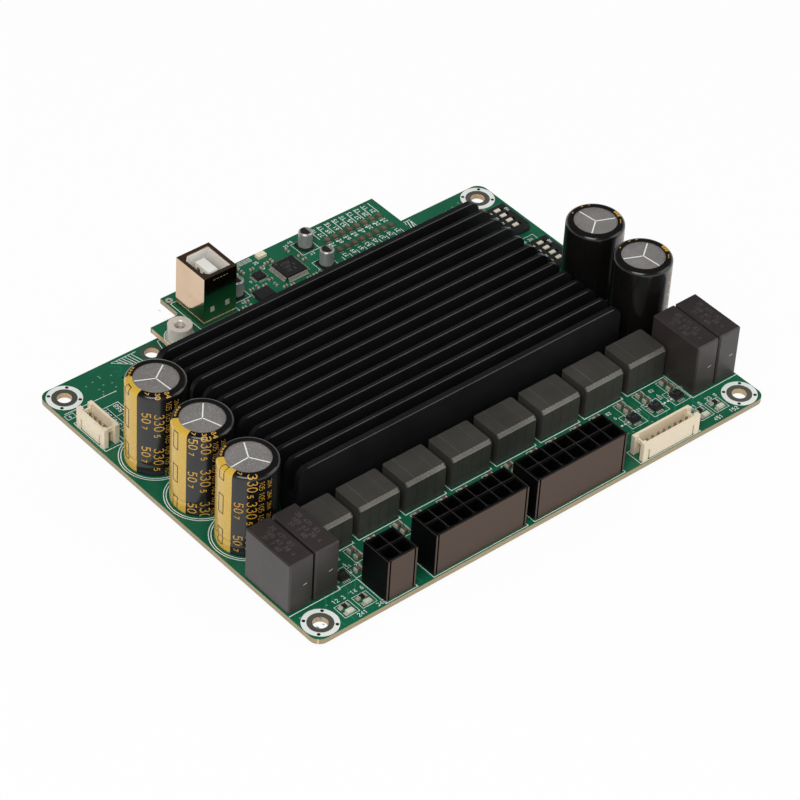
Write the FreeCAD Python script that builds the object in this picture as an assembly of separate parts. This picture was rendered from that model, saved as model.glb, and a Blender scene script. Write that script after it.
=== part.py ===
"""Eight-channel power amplifier board: one solid per physical piece, in millimetres.

The origin is the centre of the four corner holes on the underside of the main board.
+X runs along the long edge, +Y points from the black headers to the USB board, +Z is up.
"""

import FreeCAD, Part
import math
import os

Vector = FreeCAD.Vector

os.makedirs("parts", exist_ok=True)

# Main board
HOLE_SPACING_X = 142.2
HOLE_SPACING_Y = 104.6
CORNER_HOLE_R = 2.0
HOLE_TO_EDGE = 5.0
BOARD_CORNER_R = 3.0
BOARD_T = 1.6
EXTRA_HOLE_X = -42.0
EXTRA_HOLE_Y = 53.3
LEAD_TAIL = 2.0
LEAD_FIT = 0.05

# Heatsink: an extruded comb on two legs, its left ends rounded over
SINK_LENGTH = 106.4
SINK_X = -0.7
SINK_FRONT_Y = -22.1
SINK_TOP = 18.0
SINK_BASE_T = 4.0
FIN_COUNT = 13
FIN_PITCH = 4.71
FIN_T = 1.3
OUTER_FIN_T = 1.9
FIN_TIP_CHAMFER = 0.25
FIN_END_R = 3.6
SINK_LEG_W = 6.5
SINK_SCREW_X = 46.0
SINK_THREAD_DEPTH = 6.0
SINK_SCREW_GRIP = 5.0

# Power chips and thermal pads under the heatsink
POWER_CHIP_COUNT = 4
POWER_CHIP_PITCH = 26.0
POWER_CHIP_Y = -6.0
POWER_CHIP_LENGTH = 15.9
POWER_CHIP_WIDTH = 11.0
POWER_CHIP_H = 3.5
POWER_SLUG_H = 0.2
THERMAL_PAD_T = 0.5

# Screws and spacers
SCREW_R = 1.5
SCREW_HEAD_R = 2.8
SCREW_HEAD_H = 1.7
SCREW_SOCKET_R = 1.1
SCREW_SOCKET_DEPTH = 1.0
SCREW_CLEARANCE = 0.2
ROUND_SIDES = 12
THREAD_FIT = 0.02
SPACER_R = 3.0

# Round electrolytic capacitors
CAPACITOR_R = 8.0
CAPACITOR_H = 26.1
LEFT_CAPACITORS_GAP = 4.1
RIGHT_CAPACITORS_GAP = 5.9
LEFT_CAPACITORS_Y = [20.3, 1.4, -16.9]
RIGHT_CAPACITORS_Y = [1.7, -16.9]
CAN_SIDES = 28
SLEEVE_T = 0.3
SLEEVE_SHOULDER = 1.2
SLEEVE_MOUTH_R = 5.9
CAPACITOR_LEAD_SPACING = 7.5
LEAD_R = 0.4
LEAD_SIDES = 6
SCORE_W = 0.35
SCORE_DEPTH = 0.12
SCORE_REACH = 5.7
SCORE_TURNS = [34.0, 50.0, 63.0, 97.0, 36.0]

# Box film capacitors
FILM_W = 7.5
FILM_L = 17.4
FILM_H = 16.2
LEFT_FILM_GAP = 0.31
LEFT_FILM_SPACING = 0.6
RIGHT_FILM_GAP = 0.56
RIGHT_FILM_SPACING = 0.4
FILM_CENTRE_Y = -37.0
FILM_EDGE = 0.4
FILM_FOOT_H = 0.4
FILM_FOOT_L = 1.5
FILM_LEAD_SPACING = 15.0

# Moulded power inductors
INDUCTOR_COUNT = 8
INDUCTOR_PITCH = 15.24
INDUCTOR_W = 13.0
INDUCTOR_D = 9.9
INDUCTOR_H = 9.6
INDUCTOR_Y = -29.95
INDUCTOR_BEVEL = 0.9
INDUCTOR_CORNER = 0.4
TERMINAL_W = 8.0
TERMINAL_L = 2.6
TERMINAL_T = 0.3
TERMINAL_INSET = 0.4

# Black power headers, two rows of square cells
POWER_PITCH = 4.2
POWER_MARGIN = 0.5
POWER_H = 13.0
POWER_FRONT_Y = -56.4
POWER_WALL = 0.7
POWER_CELL_DEPTH = 9.5
POWER_GROOVE_W = 0.5
POWER_GROOVE_DEPTH = 0.3
POWER_GROOVE_INSET = 0.75
POWER_LATCH_W = 3.0
POWER_LATCH_T = 1.0
POWER_LATCH_H = 2.2
POWER_LATCH_DROP = 3.0
POWER_KEY = 0.8
POWER_PIN_W = 1.07
POWER_PIN_TOP = 10.0
SUPPLY_WAY_COUNT = 2
OUTPUT_WAY_COUNT = 7
POWER_HEADERS_X = [-49.05, -23.1, 10.3]

# White signal headers, one row of pins in an open shroud
SIGNAL_PITCH = 2.0
SIGNAL_END = 1.95
SIGNAL_D = 4.8
SIGNAL_H = 6.0
SIGNAL_WALL = 0.7
SIGNAL_FLOOR = 1.5
SIGNAL_POST_W = 1.3
SIGNAL_RECESS = 1.0
SIGNAL_END_WALL = 0.5
SIGNAL_END_DROP = 0.9
SIGNAL_WINDOW_H = 3.9
SIGNAL_SLOT_W = 0.6
SIGNAL_SLOT_H = 3.4
SIGNAL_SLOT_INSET = 2.1
SIGNAL_FOOT_H = 0.25
SIGNAL_PIN_W = 0.5
SIGNAL_PIN_TOP = 4.0
SIGNAL_PIN_SHIFT = 0.6
FRONT_SIGNAL_PIN_COUNT = 9
FRONT_SIGNAL_X = 41.85
FRONT_SIGNAL_Y = -54.45
LEFT_SIGNAL_PIN_COUNT = 5
LEFT_SIGNAL_X = -72.5
LEFT_SIGNAL_Y = 35.9

# Setting switches with sliders
SWITCH_X = 69.8
SWITCH_CENTRES_Y = [38.45, 20.7]
SWITCH_WAY_COUNT = 4
SWITCH_PITCH = 2.54
SWITCH_W = 6.5
SWITCH_END = 2.04
SWITCH_H = 2.4
SWITCH_GAP = 0.2
SLIDER_TRAVEL = 1.0
SLIDER_L = 1.8
SLIDER_W = 1.1
SLIDER_PROUD = 0.25
SLIDER_FOOT = 0.3
SLIDER_FOOT_H = 0.5
SLIDER_CLEARANCE = 0.06
SLIDER_DEPTH = 1.5
SWITCH_LEAD_W = 0.6
SWITCH_LEAD_L = 1.2
SWITCH_LEAD_PROUD = 0.3

# Upper board with the USB socket
LINK_GAP = 3.0
UPPER_T = 1.6
UPPER_LEFT = -30.0
UPPER_RIGHT = 43.3
UPPER_BACK = 65.4
UPPER_FRONT = 39.2
LOBE_LEFT = -39.4
LOBE_BACK = 57.3
NOTCH_R = 1.0
LINK_X = 2.0
LINK_Y = 43.0
LINK_LENGTH = 32.0
LINK_W = 5.0
LINK_WALL = 0.8
LINK_FLOOR = 0.6
LINK_SOCKET_H = 2.2
LINK_FIT = 0.05
ROUND_SPACER_X = -35.5
ROUND_SPACER_Y = 49.8
ROUND_SPACER_R = 3.35
ROUND_SPACER_H = 4.2
ROUND_SPACER_CHAMFER = 0.3
LINK_SCREW_REACH = 2.4

# Vertical USB socket
USB_X = -22.75
USB_Y = 55.15
USB_W = 10.8
USB_D = 12.0
USB_H = 15.8
USB_SHEET = 0.4
USB_FLANGE = 1.15
USB_MOUTH_CHAMFER = 1.6
USB_CAVITY = 9.0
USB_TONGUE_W = 3.0
USB_TONGUE_D = 5.8
USB_TONGUE_DROP = 1.0
USB_WALL = 1.35
USB_LEG_W = 2.2
USB_LEG_L = 3.2
USB_LATCH_W = 1.5
USB_LATCH_H = 1.1
USB_LATCH_Z = 4.6
USB_LATCH_SPACING = 5.0
USB_CONTACT_W = 1.0
USB_CONTACT_T = 0.15
USB_CONTACT_SPACING = 2.5
USB_PIN_W = 0.6

# Small parts on the boards
PROCESSOR_X = 5.2
PROCESSOR_Y = 54.5
PROCESSOR_SIDE = 7.0
PROCESSOR_H = 1.4
CHIP_DRAFT = 0.12
SMALL_CAP_SPOTS = [(15.0, 59.8), (14.7, 50.3), (-12.9, 54.6)]
SMALL_CAP_R = 2.0
SMALL_CAP_H = 5.4
SMALL_CAP_BASE = 4.2
SMALL_CAP_BASE_H = 0.8
SMALL_CAP_BASE_CHAMFER = 0.9
SMALL_CAP_SHOULDER = 0.35
SMALL_CAN_SIDES = 24
CHIP_CAP_SIZE = (2.0, 1.25, 1.1)
CHIP_CAP_OFFSET_X = 4.3
CHIP_CAP_ROWS_Y = [-37.4, -40.0]
CHIP_CAP_EXTRA_X = -52.1
CHIP_CAP_EXTRA_Y = -43.7
UPPER_CHIP_SIZE = (1.25, 1.6, 0.8)
UPPER_CHIP_PITCH = 2.6
UPPER_CHIP_FIRST_X = 39.6
UPPER_CHIP_ROWS_Y = [58.1, 52.8]
UPPER_CHIP_COUNT = 8
DRIVER_SIDE = 3.0
DRIVER_H = 1.0
DRIVER_Y = -43.1
DRIVER_SPOTS_X = [-56.8, 41.5, 49.4, 57.0]
UPPER_IC_SPOTS = [(-3.2, 57.0, 3.0, 3.0, 0.9), (-7.3, 49.6, 5.0, 4.0, 1.5)]
LED_SPOTS = [(-63.0, -53.7), (-57.4, -53.7), (57.8, -53.2), (63.2, -53.2)]
LED_SIZE = (2.0, 1.25, 0.8)
RESISTOR_SIZE = (2.0, 1.25, 0.5)
RESISTOR_STEP_Y = 2.3

# Sizes worked out from the ones above
BOARD_X = HOLE_SPACING_X + 2 * HOLE_TO_EDGE
BOARD_Y = HOLE_SPACING_Y + 2 * HOLE_TO_EDGE
SINK_DEPTH = (FIN_COUNT - 1) * FIN_PITCH + OUTER_FIN_T
SINK_UNDER = BOARD_T + POWER_CHIP_H + THERMAL_PAD_T
SINK_CREST = BOARD_T + SINK_TOP
UPPER_BOTTOM = BOARD_T + LINK_GAP
UPPER_TOP = UPPER_BOTTOM + UPPER_T
LEFT_CAPACITORS_X = SINK_X - SINK_LENGTH / 2 - LEFT_CAPACITORS_GAP - CAPACITOR_R
RIGHT_CAPACITORS_X = SINK_X + SINK_LENGTH / 2 + RIGHT_CAPACITORS_GAP + CAPACITOR_R
CAPACITOR_SPOTS = [(LEFT_CAPACITORS_X, y) for y in LEFT_CAPACITORS_Y]
CAPACITOR_SPOTS += [(RIGHT_CAPACITORS_X, y) for y in RIGHT_CAPACITORS_Y]
INDUCTOR_REACH = ((INDUCTOR_COUNT - 1) * INDUCTOR_PITCH + INDUCTOR_W) / 2
LEFT_FILM_X = -INDUCTOR_REACH - LEFT_FILM_GAP - FILM_W / 2
RIGHT_FILM_X = INDUCTOR_REACH + RIGHT_FILM_GAP + FILM_W / 2
FILM_CENTRES_X = [LEFT_FILM_X - FILM_W - LEFT_FILM_SPACING, LEFT_FILM_X]
FILM_CENTRES_X += [RIGHT_FILM_X, RIGHT_FILM_X + FILM_W + RIGHT_FILM_SPACING]
POWER_D = 2 * POWER_PITCH + 2 * POWER_MARGIN
POWER_CENTRE_Y = POWER_FRONT_Y + POWER_D / 2
POWER_HEADER_NAMES = ["supply_header", "output_header_1", "output_header_2"]
POWER_WAY_COUNTS = [SUPPLY_WAY_COUNT, OUTPUT_WAY_COUNT, OUTPUT_WAY_COUNT]
POWER_HEADERS = list(zip(POWER_HEADER_NAMES, POWER_WAY_COUNTS, POWER_HEADERS_X))
SLIDER_SLOT_L = SLIDER_L + SLIDER_TRAVEL + 2 * SLIDER_CLEARANCE
SLIDER_SLOT_W = SLIDER_W + 2 * SLIDER_CLEARANCE


def save(name, shape):
    """Write one node as a STEP file named after it."""
    shape.exportStep(os.path.join("parts", name + ".step"))


def ring_of_points(cx, cy, z, radius, sides):
    """Corners of a regular polygon about cx, cy at height z."""
    turn = 2 * math.pi / sides
    return [(cx + radius * math.cos(i * turn), cy + radius * math.sin(i * turn), z) for i in range(sides)]


def facet_rod(cx, cy, z, radius, height, sides):
    """An upright prism of equal sides, for round pieces that repeat."""
    return prism(ring_of_points(cx, cy, z, radius, sides), (0, 0, height))


def facet_cone(cx, cy, z, low_radius, high_radius, height, sides):
    """An upright tapering prism of equal sides."""
    rings = []
    for radius, level in ((low_radius, z), (high_radius, z + height)):
        points = ring_of_points(cx, cy, level, radius, sides)
        rings.append(Part.makePolygon([Vector(*p) for p in points + points[:1]]))
    return Part.makeLoft(rings, True, True)


def facet_can(cx, cy, z, radius, height, shoulder, sides):
    """An upright can of equal sides whose top edge is chamfered by shoulder."""
    wall = facet_rod(cx, cy, z, radius, height - shoulder, sides)
    crown = facet_cone(cx, cy, z + height - shoulder, radius, radius - shoulder, shoulder, sides)
    return wall.fuse(crown).removeSplitter()


def block(cx, cy, z, dx, dy, dz):
    """A box centred on cx, cy whose underside is at z."""
    return Part.makeBox(dx, dy, dz, Vector(cx - dx / 2, cy - dy / 2, z))


def rod(cx, cy, z, radius, height):
    """An upright cylinder standing on z."""
    return Part.makeCylinder(radius, height, Vector(cx, cy, z))


def prism(points, direction):
    """The solid swept from a closed polygon along a direction."""
    wire = Part.makePolygon([Vector(*p) for p in points] + [Vector(*points[0])])
    return Part.Face(wire).extrude(Vector(*direction))


def upright_edges(shape):
    """The straight edges of a shape that run along Z."""
    found = []
    for edge in shape.Edges:
        if isinstance(edge.Curve, Part.Line) and abs(edge.tangentAt(edge.FirstParameter).z) > 0.999:
            found.append(edge)
    return found


def lifted(shape, dx, dy, dz):
    """A copy of a shape moved by dx, dy, dz."""
    moved = shape.copy()
    moved.translate(Vector(dx, dy, dz))
    return moved


def row(count, pitch):
    """Offsets of a centred row of equal steps."""
    return [(i - (count - 1) / 2) * pitch for i in range(count)]


def chip_body(cx, cy, z, dx, dy, height):
    """A moulded chip whose four sides lean inwards from its parting line, to both faces."""
    half = height / 2
    lean = 2 * CHIP_DRAFT
    middle = rectangle(cx, cy, z + half, dx, dy)
    lower = Part.makeLoft([rectangle(cx, cy, z, dx - lean, dy - lean), middle], True, True)
    upper = Part.makeLoft([middle, rectangle(cx, cy, z + height, dx - lean, dy - lean)], True, True)
    return lower.fuse(upper)


def rectangle(cx, cy, z, dx, dy):
    """A closed rectangular wire at height z."""
    corners = [(-1, -1), (1, -1), (1, 1), (-1, 1), (-1, -1)]
    return Part.makePolygon([Vector(cx + sx * dx / 2, cy + sy * dy / 2, z) for sx, sy in corners])


def screw(cx, cy, reach):
    """A pan head screw that comes up through the main board, with its head underneath."""
    shank = facet_rod(cx, cy, 0, SCREW_R, reach, ROUND_SIDES)
    head = facet_rod(cx, cy, -SCREW_HEAD_H, SCREW_HEAD_R, SCREW_HEAD_H, ROUND_SIDES)
    socket = facet_rod(cx, cy, -SCREW_HEAD_H, SCREW_SOCKET_R, SCREW_SOCKET_DEPTH, 6)
    return head.fuse(shank).cut(socket).removeSplitter()


def heatsink_screw_spots():
    """Centres of the four screws that hold the heatsink down, in the middle of its legs."""
    near = SINK_FRONT_Y + SINK_LEG_W / 2
    far = SINK_FRONT_Y + SINK_DEPTH - SINK_LEG_W / 2
    return [(SINK_X + sx * SINK_SCREW_X, y) for sx in (-1, 1) for y in (near, far)]


def power_pin_spots(ways, centre_x):
    """Centres of the pins of one black header, front row and back row."""
    steps = row(ways, POWER_PITCH)
    return [(centre_x + dx, POWER_CENTRE_Y + dy) for dy in row(2, POWER_PITCH) for dx in steps]


def front_signal_spots():
    """Centres of the pins of the white header at the front edge."""
    y = FRONT_SIGNAL_Y + SIGNAL_PIN_SHIFT
    return [(FRONT_SIGNAL_X + dx, y) for dx in row(FRONT_SIGNAL_PIN_COUNT, SIGNAL_PITCH)]


def left_signal_spots():
    """Centres of the pins of the white header at the left edge."""
    x = LEFT_SIGNAL_X + SIGNAL_PIN_SHIFT
    return [(x, LEFT_SIGNAL_Y + dy) for dy in row(LEFT_SIGNAL_PIN_COUNT, SIGNAL_PITCH)]


def electrolytic_lead_spots():
    """Centres of the wire leads of the electrolytic capacitors."""
    return [(x, y + dy) for x, y in CAPACITOR_SPOTS for dy in row(2, CAPACITOR_LEAD_SPACING)]


def film_lead_spots():
    """Centres of the wire leads of the box film capacitors."""
    return [(x, FILM_CENTRE_Y + dy) for x in FILM_CENTRES_X for dy in row(2, FILM_LEAD_SPACING)]


def square_holes(spots, pin_width, bottom, thickness):
    """Cutters for plated holes that solder closes up to a square pin."""
    side = pin_width + 2 * LEAD_FIT
    return [block(x, y, bottom - 1, side, side, thickness + 2) for x, y in spots]


def make_main_board():
    """The large board with its mounting holes, screw holes and lead holes."""
    board = block(0, 0, 0, BOARD_X, BOARD_Y, BOARD_T)
    board = board.makeFillet(BOARD_CORNER_R, upright_edges(board))
    through = BOARD_T + 2
    cutters = []
    for sx in (-1, 1):
        for sy in (-1, 1):
            cutters.append(rod(sx * HOLE_SPACING_X / 2, sy * HOLE_SPACING_Y / 2, -1, CORNER_HOLE_R, through))
    cutters.append(rod(EXTRA_HOLE_X, EXTRA_HOLE_Y, -1, CORNER_HOLE_R, through))
    for x, y in heatsink_screw_spots() + [(ROUND_SPACER_X, ROUND_SPACER_Y)]:
        cutters.append(facet_rod(x, y, -1, SCREW_R + SCREW_CLEARANCE, through, ROUND_SIDES))
    for x, y in electrolytic_lead_spots() + film_lead_spots():
        cutters.append(facet_rod(x, y, -1, LEAD_R + LEAD_FIT, through, LEAD_SIDES))
    for name, ways, centre_x in POWER_HEADERS:
        cutters += square_holes(power_pin_spots(ways, centre_x), POWER_PIN_W, 0, BOARD_T)
    cutters += square_holes(front_signal_spots() + left_signal_spots(), SIGNAL_PIN_W, 0, BOARD_T)
    save("main_board", board.cut(Part.makeCompound(cutters)))


def comb_outline():
    """Corners of the heatsink section: legs below the base, and fins with chamfered tips above."""
    z_floor = SINK_UNDER + SINK_BASE_T
    back = SINK_FRONT_Y + SINK_DEPTH
    centres = [SINK_FRONT_Y + OUTER_FIN_T / 2 + i * FIN_PITCH for i in range(FIN_COUNT)]
    points = [(SINK_FRONT_Y + SINK_LEG_W, SINK_UNDER), (SINK_FRONT_Y + SINK_LEG_W, BOARD_T), (SINK_FRONT_Y, BOARD_T)]
    for i, centre in enumerate(centres):
        outer = i in (0, FIN_COUNT - 1)
        half = (OUTER_FIN_T if outer else FIN_T) / 2
        if i > 0:
            points.append((centre - half, z_floor))
        points.append((centre - half, SINK_CREST - FIN_TIP_CHAMFER))
        points.append((centre - half + FIN_TIP_CHAMFER, SINK_CREST))
        points.append((centre + half - FIN_TIP_CHAMFER, SINK_CREST))
        points.append((centre + half, SINK_CREST - FIN_TIP_CHAMFER))
        if i < FIN_COUNT - 1:
            points.append((centre + half, z_floor))
    return points + [(back, BOARD_T), (back - SINK_LEG_W, BOARD_T), (back - SINK_LEG_W, SINK_UNDER)]


def make_heatsink():
    """The finned extrusion, rounded over at its left end, with threaded holes in its legs."""
    left = SINK_X - SINK_LENGTH / 2
    comb = prism([(left, y, z) for y, z in comb_outline()], (SINK_LENGTH, 0, 0))
    corner = Vector(left, SINK_FRONT_Y, BOARD_T)
    envelope = Part.makeBox(SINK_LENGTH, SINK_DEPTH, SINK_CREST - BOARD_T, corner)
    for edge in envelope.Edges:
        box = edge.BoundBox
        if box.YLength > 1 and abs(box.XMax - left) < 1e-6 and abs(box.ZMin - SINK_CREST) < 1e-6:
            left_top = edge
    sink = comb.common(envelope.makeFillet(FIN_END_R, [left_top]))
    holes = []
    screws = []
    for x, y in heatsink_screw_spots():
        holes.append(facet_rod(x, y, 0, SCREW_R + THREAD_FIT, BOARD_T + SINK_THREAD_DEPTH, ROUND_SIDES))
        screws.append(screw(x, y, BOARD_T + SINK_SCREW_GRIP))
    save("heatsink", sink.cut(Part.makeCompound(holes)))
    save("heatsink_screws", Part.makeCompound(screws))


def make_power_chips():
    """The four output chips, each with a metal slug on top, and the pads up to the heatsink."""
    chips = []
    pads = []
    for x in row(POWER_CHIP_COUNT, POWER_CHIP_PITCH):
        body = chip_body(x, POWER_CHIP_Y, BOARD_T, POWER_CHIP_LENGTH, POWER_CHIP_WIDTH, POWER_CHIP_H - POWER_SLUG_H)
        slug = block(x, POWER_CHIP_Y, BOARD_T + POWER_CHIP_H - 2 * POWER_SLUG_H,
                     POWER_CHIP_LENGTH * 0.7, POWER_CHIP_WIDTH * 0.5, 2 * POWER_SLUG_H)
        chips.append(body.fuse(slug).removeSplitter())
        pads.append(block(x, POWER_CHIP_Y, BOARD_T + POWER_CHIP_H, POWER_CHIP_LENGTH, POWER_CHIP_WIDTH, THERMAL_PAD_T))
    save("power_chips", Part.makeCompound(chips))
    save("thermal_pads", Part.makeCompound(pads))


def make_round_capacitors():
    """Five electrolytic capacitors: cans with a scored vent in the top, and their sleeves."""
    cans = []
    sleeves = []
    for (x, y), first_turn in zip(CAPACITOR_SPOTS, SCORE_TURNS):
        sleeve = facet_can(x, y, BOARD_T, CAPACITOR_R, CAPACITOR_H, SLEEVE_SHOULDER, CAN_SIDES)
        can_r = CAPACITOR_R - SLEEVE_T
        can = facet_can(x, y, BOARD_T, can_r, CAPACITOR_H - SLEEVE_T, SLEEVE_SHOULDER, CAN_SIDES)
        mouth = facet_rod(x, y, BOARD_T, SLEEVE_MOUTH_R, CAPACITOR_H + 1, CAN_SIDES)
        sleeves.append(sleeve.cut(can).cut(mouth))
        top = BOARD_T + CAPACITOR_H - SLEEVE_T
        arms = []
        for arm_turn in (0, 120, 240):
            arm = Part.makeBox(SCORE_REACH, SCORE_W, SCORE_DEPTH + 1, Vector(x, y - SCORE_W / 2, top - SCORE_DEPTH))
            arm.rotate(Vector(x, y, 0), Vector(0, 0, 1), first_turn + arm_turn)
            arms.append(arm)
        cans.append(can.cut(arms[0].multiFuse(arms[1:]).removeSplitter()))
    save("capacitor_cans", Part.makeCompound(cans))
    save("capacitor_sleeves", Part.makeCompound(sleeves))
    leads = []
    for x, y in electrolytic_lead_spots():
        leads.append(facet_rod(x, y, -LEAD_TAIL, LEAD_R, BOARD_T + LEAD_TAIL, LEAD_SIDES))
    save("capacitor_leads", Part.makeCompound(leads))


def make_film_capacitors():
    """Four moulded box capacitors on small feet, with their wire leads."""
    for index, x in enumerate(FILM_CENTRES_X):
        body = block(x, FILM_CENTRE_Y, BOARD_T + FILM_FOOT_H, FILM_W, FILM_L, FILM_H - FILM_FOOT_H)
        rim = [edge for edge in body.Edges if abs(edge.BoundBox.ZMin - BOARD_T - FILM_H) < 1e-6]
        body = body.makeChamfer(FILM_EDGE, upright_edges(body) + rim)
        for sy in (-1, 1):
            foot_y = FILM_CENTRE_Y + sy * (FILM_L / 2 - FILM_EDGE - FILM_FOOT_L / 2)
            body = body.fuse(block(x, foot_y, BOARD_T, FILM_W - 2 * FILM_EDGE, FILM_FOOT_L, 2 * FILM_FOOT_H))
        save(f"film_capacitor_{index + 1}", body.removeSplitter())
    height = BOARD_T + LEAD_TAIL
    leads = [facet_rod(x, y, -LEAD_TAIL, LEAD_R, height, LEAD_SIDES) for x, y in film_lead_spots()]
    save("film_capacitor_leads", Part.makeCompound(leads))


def make_inductors():
    """Eight moulded inductors on flat terminals: front top edge bevelled, back corners cut."""
    terminals = []
    z = BOARD_T + TERMINAL_T
    top = BOARD_T + INDUCTOR_H
    front = INDUCTOR_Y - INDUCTOR_D / 2
    for index, x in enumerate(row(INDUCTOR_COUNT, INDUCTOR_PITCH)):
        body = block(x, INDUCTOR_Y, z, INDUCTOR_W, INDUCTOR_D, top - z)
        corners = [edge for edge in upright_edges(body) if edge.BoundBox.YMin > INDUCTOR_Y]
        body = body.makeChamfer(INDUCTOR_CORNER, corners)
        for edge in body.Edges:
            if abs(edge.BoundBox.ZMin - top) < 1e-6 and abs(edge.BoundBox.YMax - front) < 1e-6:
                crest = edge
        save(f"inductor_{index + 1}", body.makeChamfer(INDUCTOR_BEVEL, [crest]))
        for end in (-1, 1):
            pad_y = INDUCTOR_Y + end * (INDUCTOR_D / 2 - TERMINAL_L / 2 - TERMINAL_INSET)
            terminals.append(block(x, pad_y, BOARD_T, TERMINAL_W, TERMINAL_L, TERMINAL_T))
    save("inductor_terminals", Part.makeCompound(terminals))


def power_cell(cx, cy, z):
    """Cutter for one header cell: square, with two corners cut as a key."""
    side = POWER_PITCH - POWER_WALL
    cell = block(cx, cy, z, side, side, POWER_CELL_DEPTH + 1)
    half = side / 2
    for sx in (-1, 1):
        corner = [(cx + sx * half, cy - half, z), (cx + sx * (half - POWER_KEY), cy - half, z)]
        corner.append((cx + sx * half, cy - half + POWER_KEY, z))
        cell = cell.cut(prism(corner, (0, 0, POWER_CELL_DEPTH + 1)))
    return cell


def make_power_headers():
    """Three black headers: walled cells, front grooves and a latch ramp on the back wall."""
    pins = []
    for name, ways, centre_x in POWER_HEADERS:
        length = ways * POWER_PITCH + 2 * POWER_MARGIN
        housing = block(centre_x, POWER_CENTRE_Y, BOARD_T, length, POWER_D, POWER_H)
        cutters = []
        for x, y in power_pin_spots(ways, centre_x):
            cutters.append(power_cell(x, y, BOARD_T + POWER_H - POWER_CELL_DEPTH))
            cutters.append(block(x, y, BOARD_T - 1, POWER_PIN_W, POWER_PIN_W, POWER_H))
        for side in (-1, 1):
            groove_x = centre_x + side * (length / 2 - POWER_GROOVE_INSET)
            cutters.append(block(groove_x, POWER_FRONT_Y, BOARD_T - 1, POWER_GROOVE_W, 2 * POWER_GROOVE_DEPTH, POWER_H + 2))
        housing = housing.cut(Part.makeCompound(cutters))
        back = POWER_FRONT_Y + POWER_D
        ramp_top = BOARD_T + POWER_H - POWER_LATCH_DROP
        ramp = [(centre_x - POWER_LATCH_W / 2, back, ramp_top)]
        ramp.append((centre_x - POWER_LATCH_W / 2, back + POWER_LATCH_T, ramp_top - POWER_LATCH_H))
        ramp.append((centre_x - POWER_LATCH_W / 2, back, ramp_top - POWER_LATCH_H))
        save(name, housing.fuse(prism(ramp, (POWER_LATCH_W, 0, 0))))
        for x, y in power_pin_spots(ways, centre_x):
            pins.append(block(x, y, -LEAD_TAIL, POWER_PIN_W, POWER_PIN_W, BOARD_T + LEAD_TAIL + POWER_PIN_TOP))
    save("power_header_pins", Part.makeCompound(pins))


def signal_shroud(pin_count):
    """A white shroud about the origin, its row along X and its slotted wall towards -Y."""
    length = (pin_count - 1) * SIGNAL_PITCH + 2 * SIGNAL_END
    shroud = block(0, 0, 0, length, SIGNAL_D, SIGNAL_H)
    between = SIGNAL_D - 2 * SIGNAL_POST_W
    inner_l = length - 2 * SIGNAL_RECESS - 2 * SIGNAL_END_WALL
    cutters = [block(0, 0, SIGNAL_FLOOR, inner_l, SIGNAL_D - 2 * SIGNAL_WALL, SIGNAL_H)]
    cutters.append(block(0, 0, SIGNAL_H - SIGNAL_END_DROP, length, between, SIGNAL_H))
    for side in (-1, 1):
        cutters.append(block(side * length / 2, 0, -1, 2 * SIGNAL_RECESS, between, SIGNAL_H + 2))
        wall_x = side * (length / 2 - SIGNAL_RECESS - SIGNAL_END_WALL / 2)
        cutters.append(block(wall_x, 0, -1, 2 * SIGNAL_END_WALL, between, 1 + SIGNAL_WINDOW_H))
        slot_x = side * (length / 2 - SIGNAL_SLOT_INSET)
        cutters.append(block(slot_x, -SIGNAL_D / 2, -1, SIGNAL_SLOT_W, 2 * SIGNAL_WALL, 1 + SIGNAL_SLOT_H))
    foot_l = length - 2 * SIGNAL_SLOT_INSET
    cutters.append(block(0, -SIGNAL_D / 2, -1, foot_l, 2 * SIGNAL_WALL, 1 + SIGNAL_FOOT_H))
    for dx in row(pin_count, SIGNAL_PITCH):
        cutters.append(block(dx, SIGNAL_PIN_SHIFT, -1, SIGNAL_PIN_W, SIGNAL_PIN_W, SIGNAL_H))
    return shroud.cut(cutters[0].multiFuse(cutters[1:])).removeSplitter()


def make_signal_headers():
    """The two white headers, at the front edge and at the left edge, with their pins."""
    save("front_signal_header", lifted(signal_shroud(FRONT_SIGNAL_PIN_COUNT), FRONT_SIGNAL_X, FRONT_SIGNAL_Y, BOARD_T))
    left = signal_shroud(LEFT_SIGNAL_PIN_COUNT)
    left.rotate(Vector(0, 0, 0), Vector(0, 0, 1), -90)
    save("left_signal_header", lifted(left, LEFT_SIGNAL_X, LEFT_SIGNAL_Y, BOARD_T))
    pins = []
    for x, y in front_signal_spots() + left_signal_spots():
        pins.append(block(x, y, -LEAD_TAIL, SIGNAL_PIN_W, SIGNAL_PIN_W, BOARD_T + LEAD_TAIL + SIGNAL_PIN_TOP))
    save("signal_header_pins", Part.makeCompound(pins))


def slider_spots(centre_y):
    """Centres of the sliders of one switch, all at the end of travel away from the board edge."""
    return [(SWITCH_X - SLIDER_TRAVEL / 2, centre_y + dy) for dy in row(SWITCH_WAY_COUNT, SWITCH_PITCH)]


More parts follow.
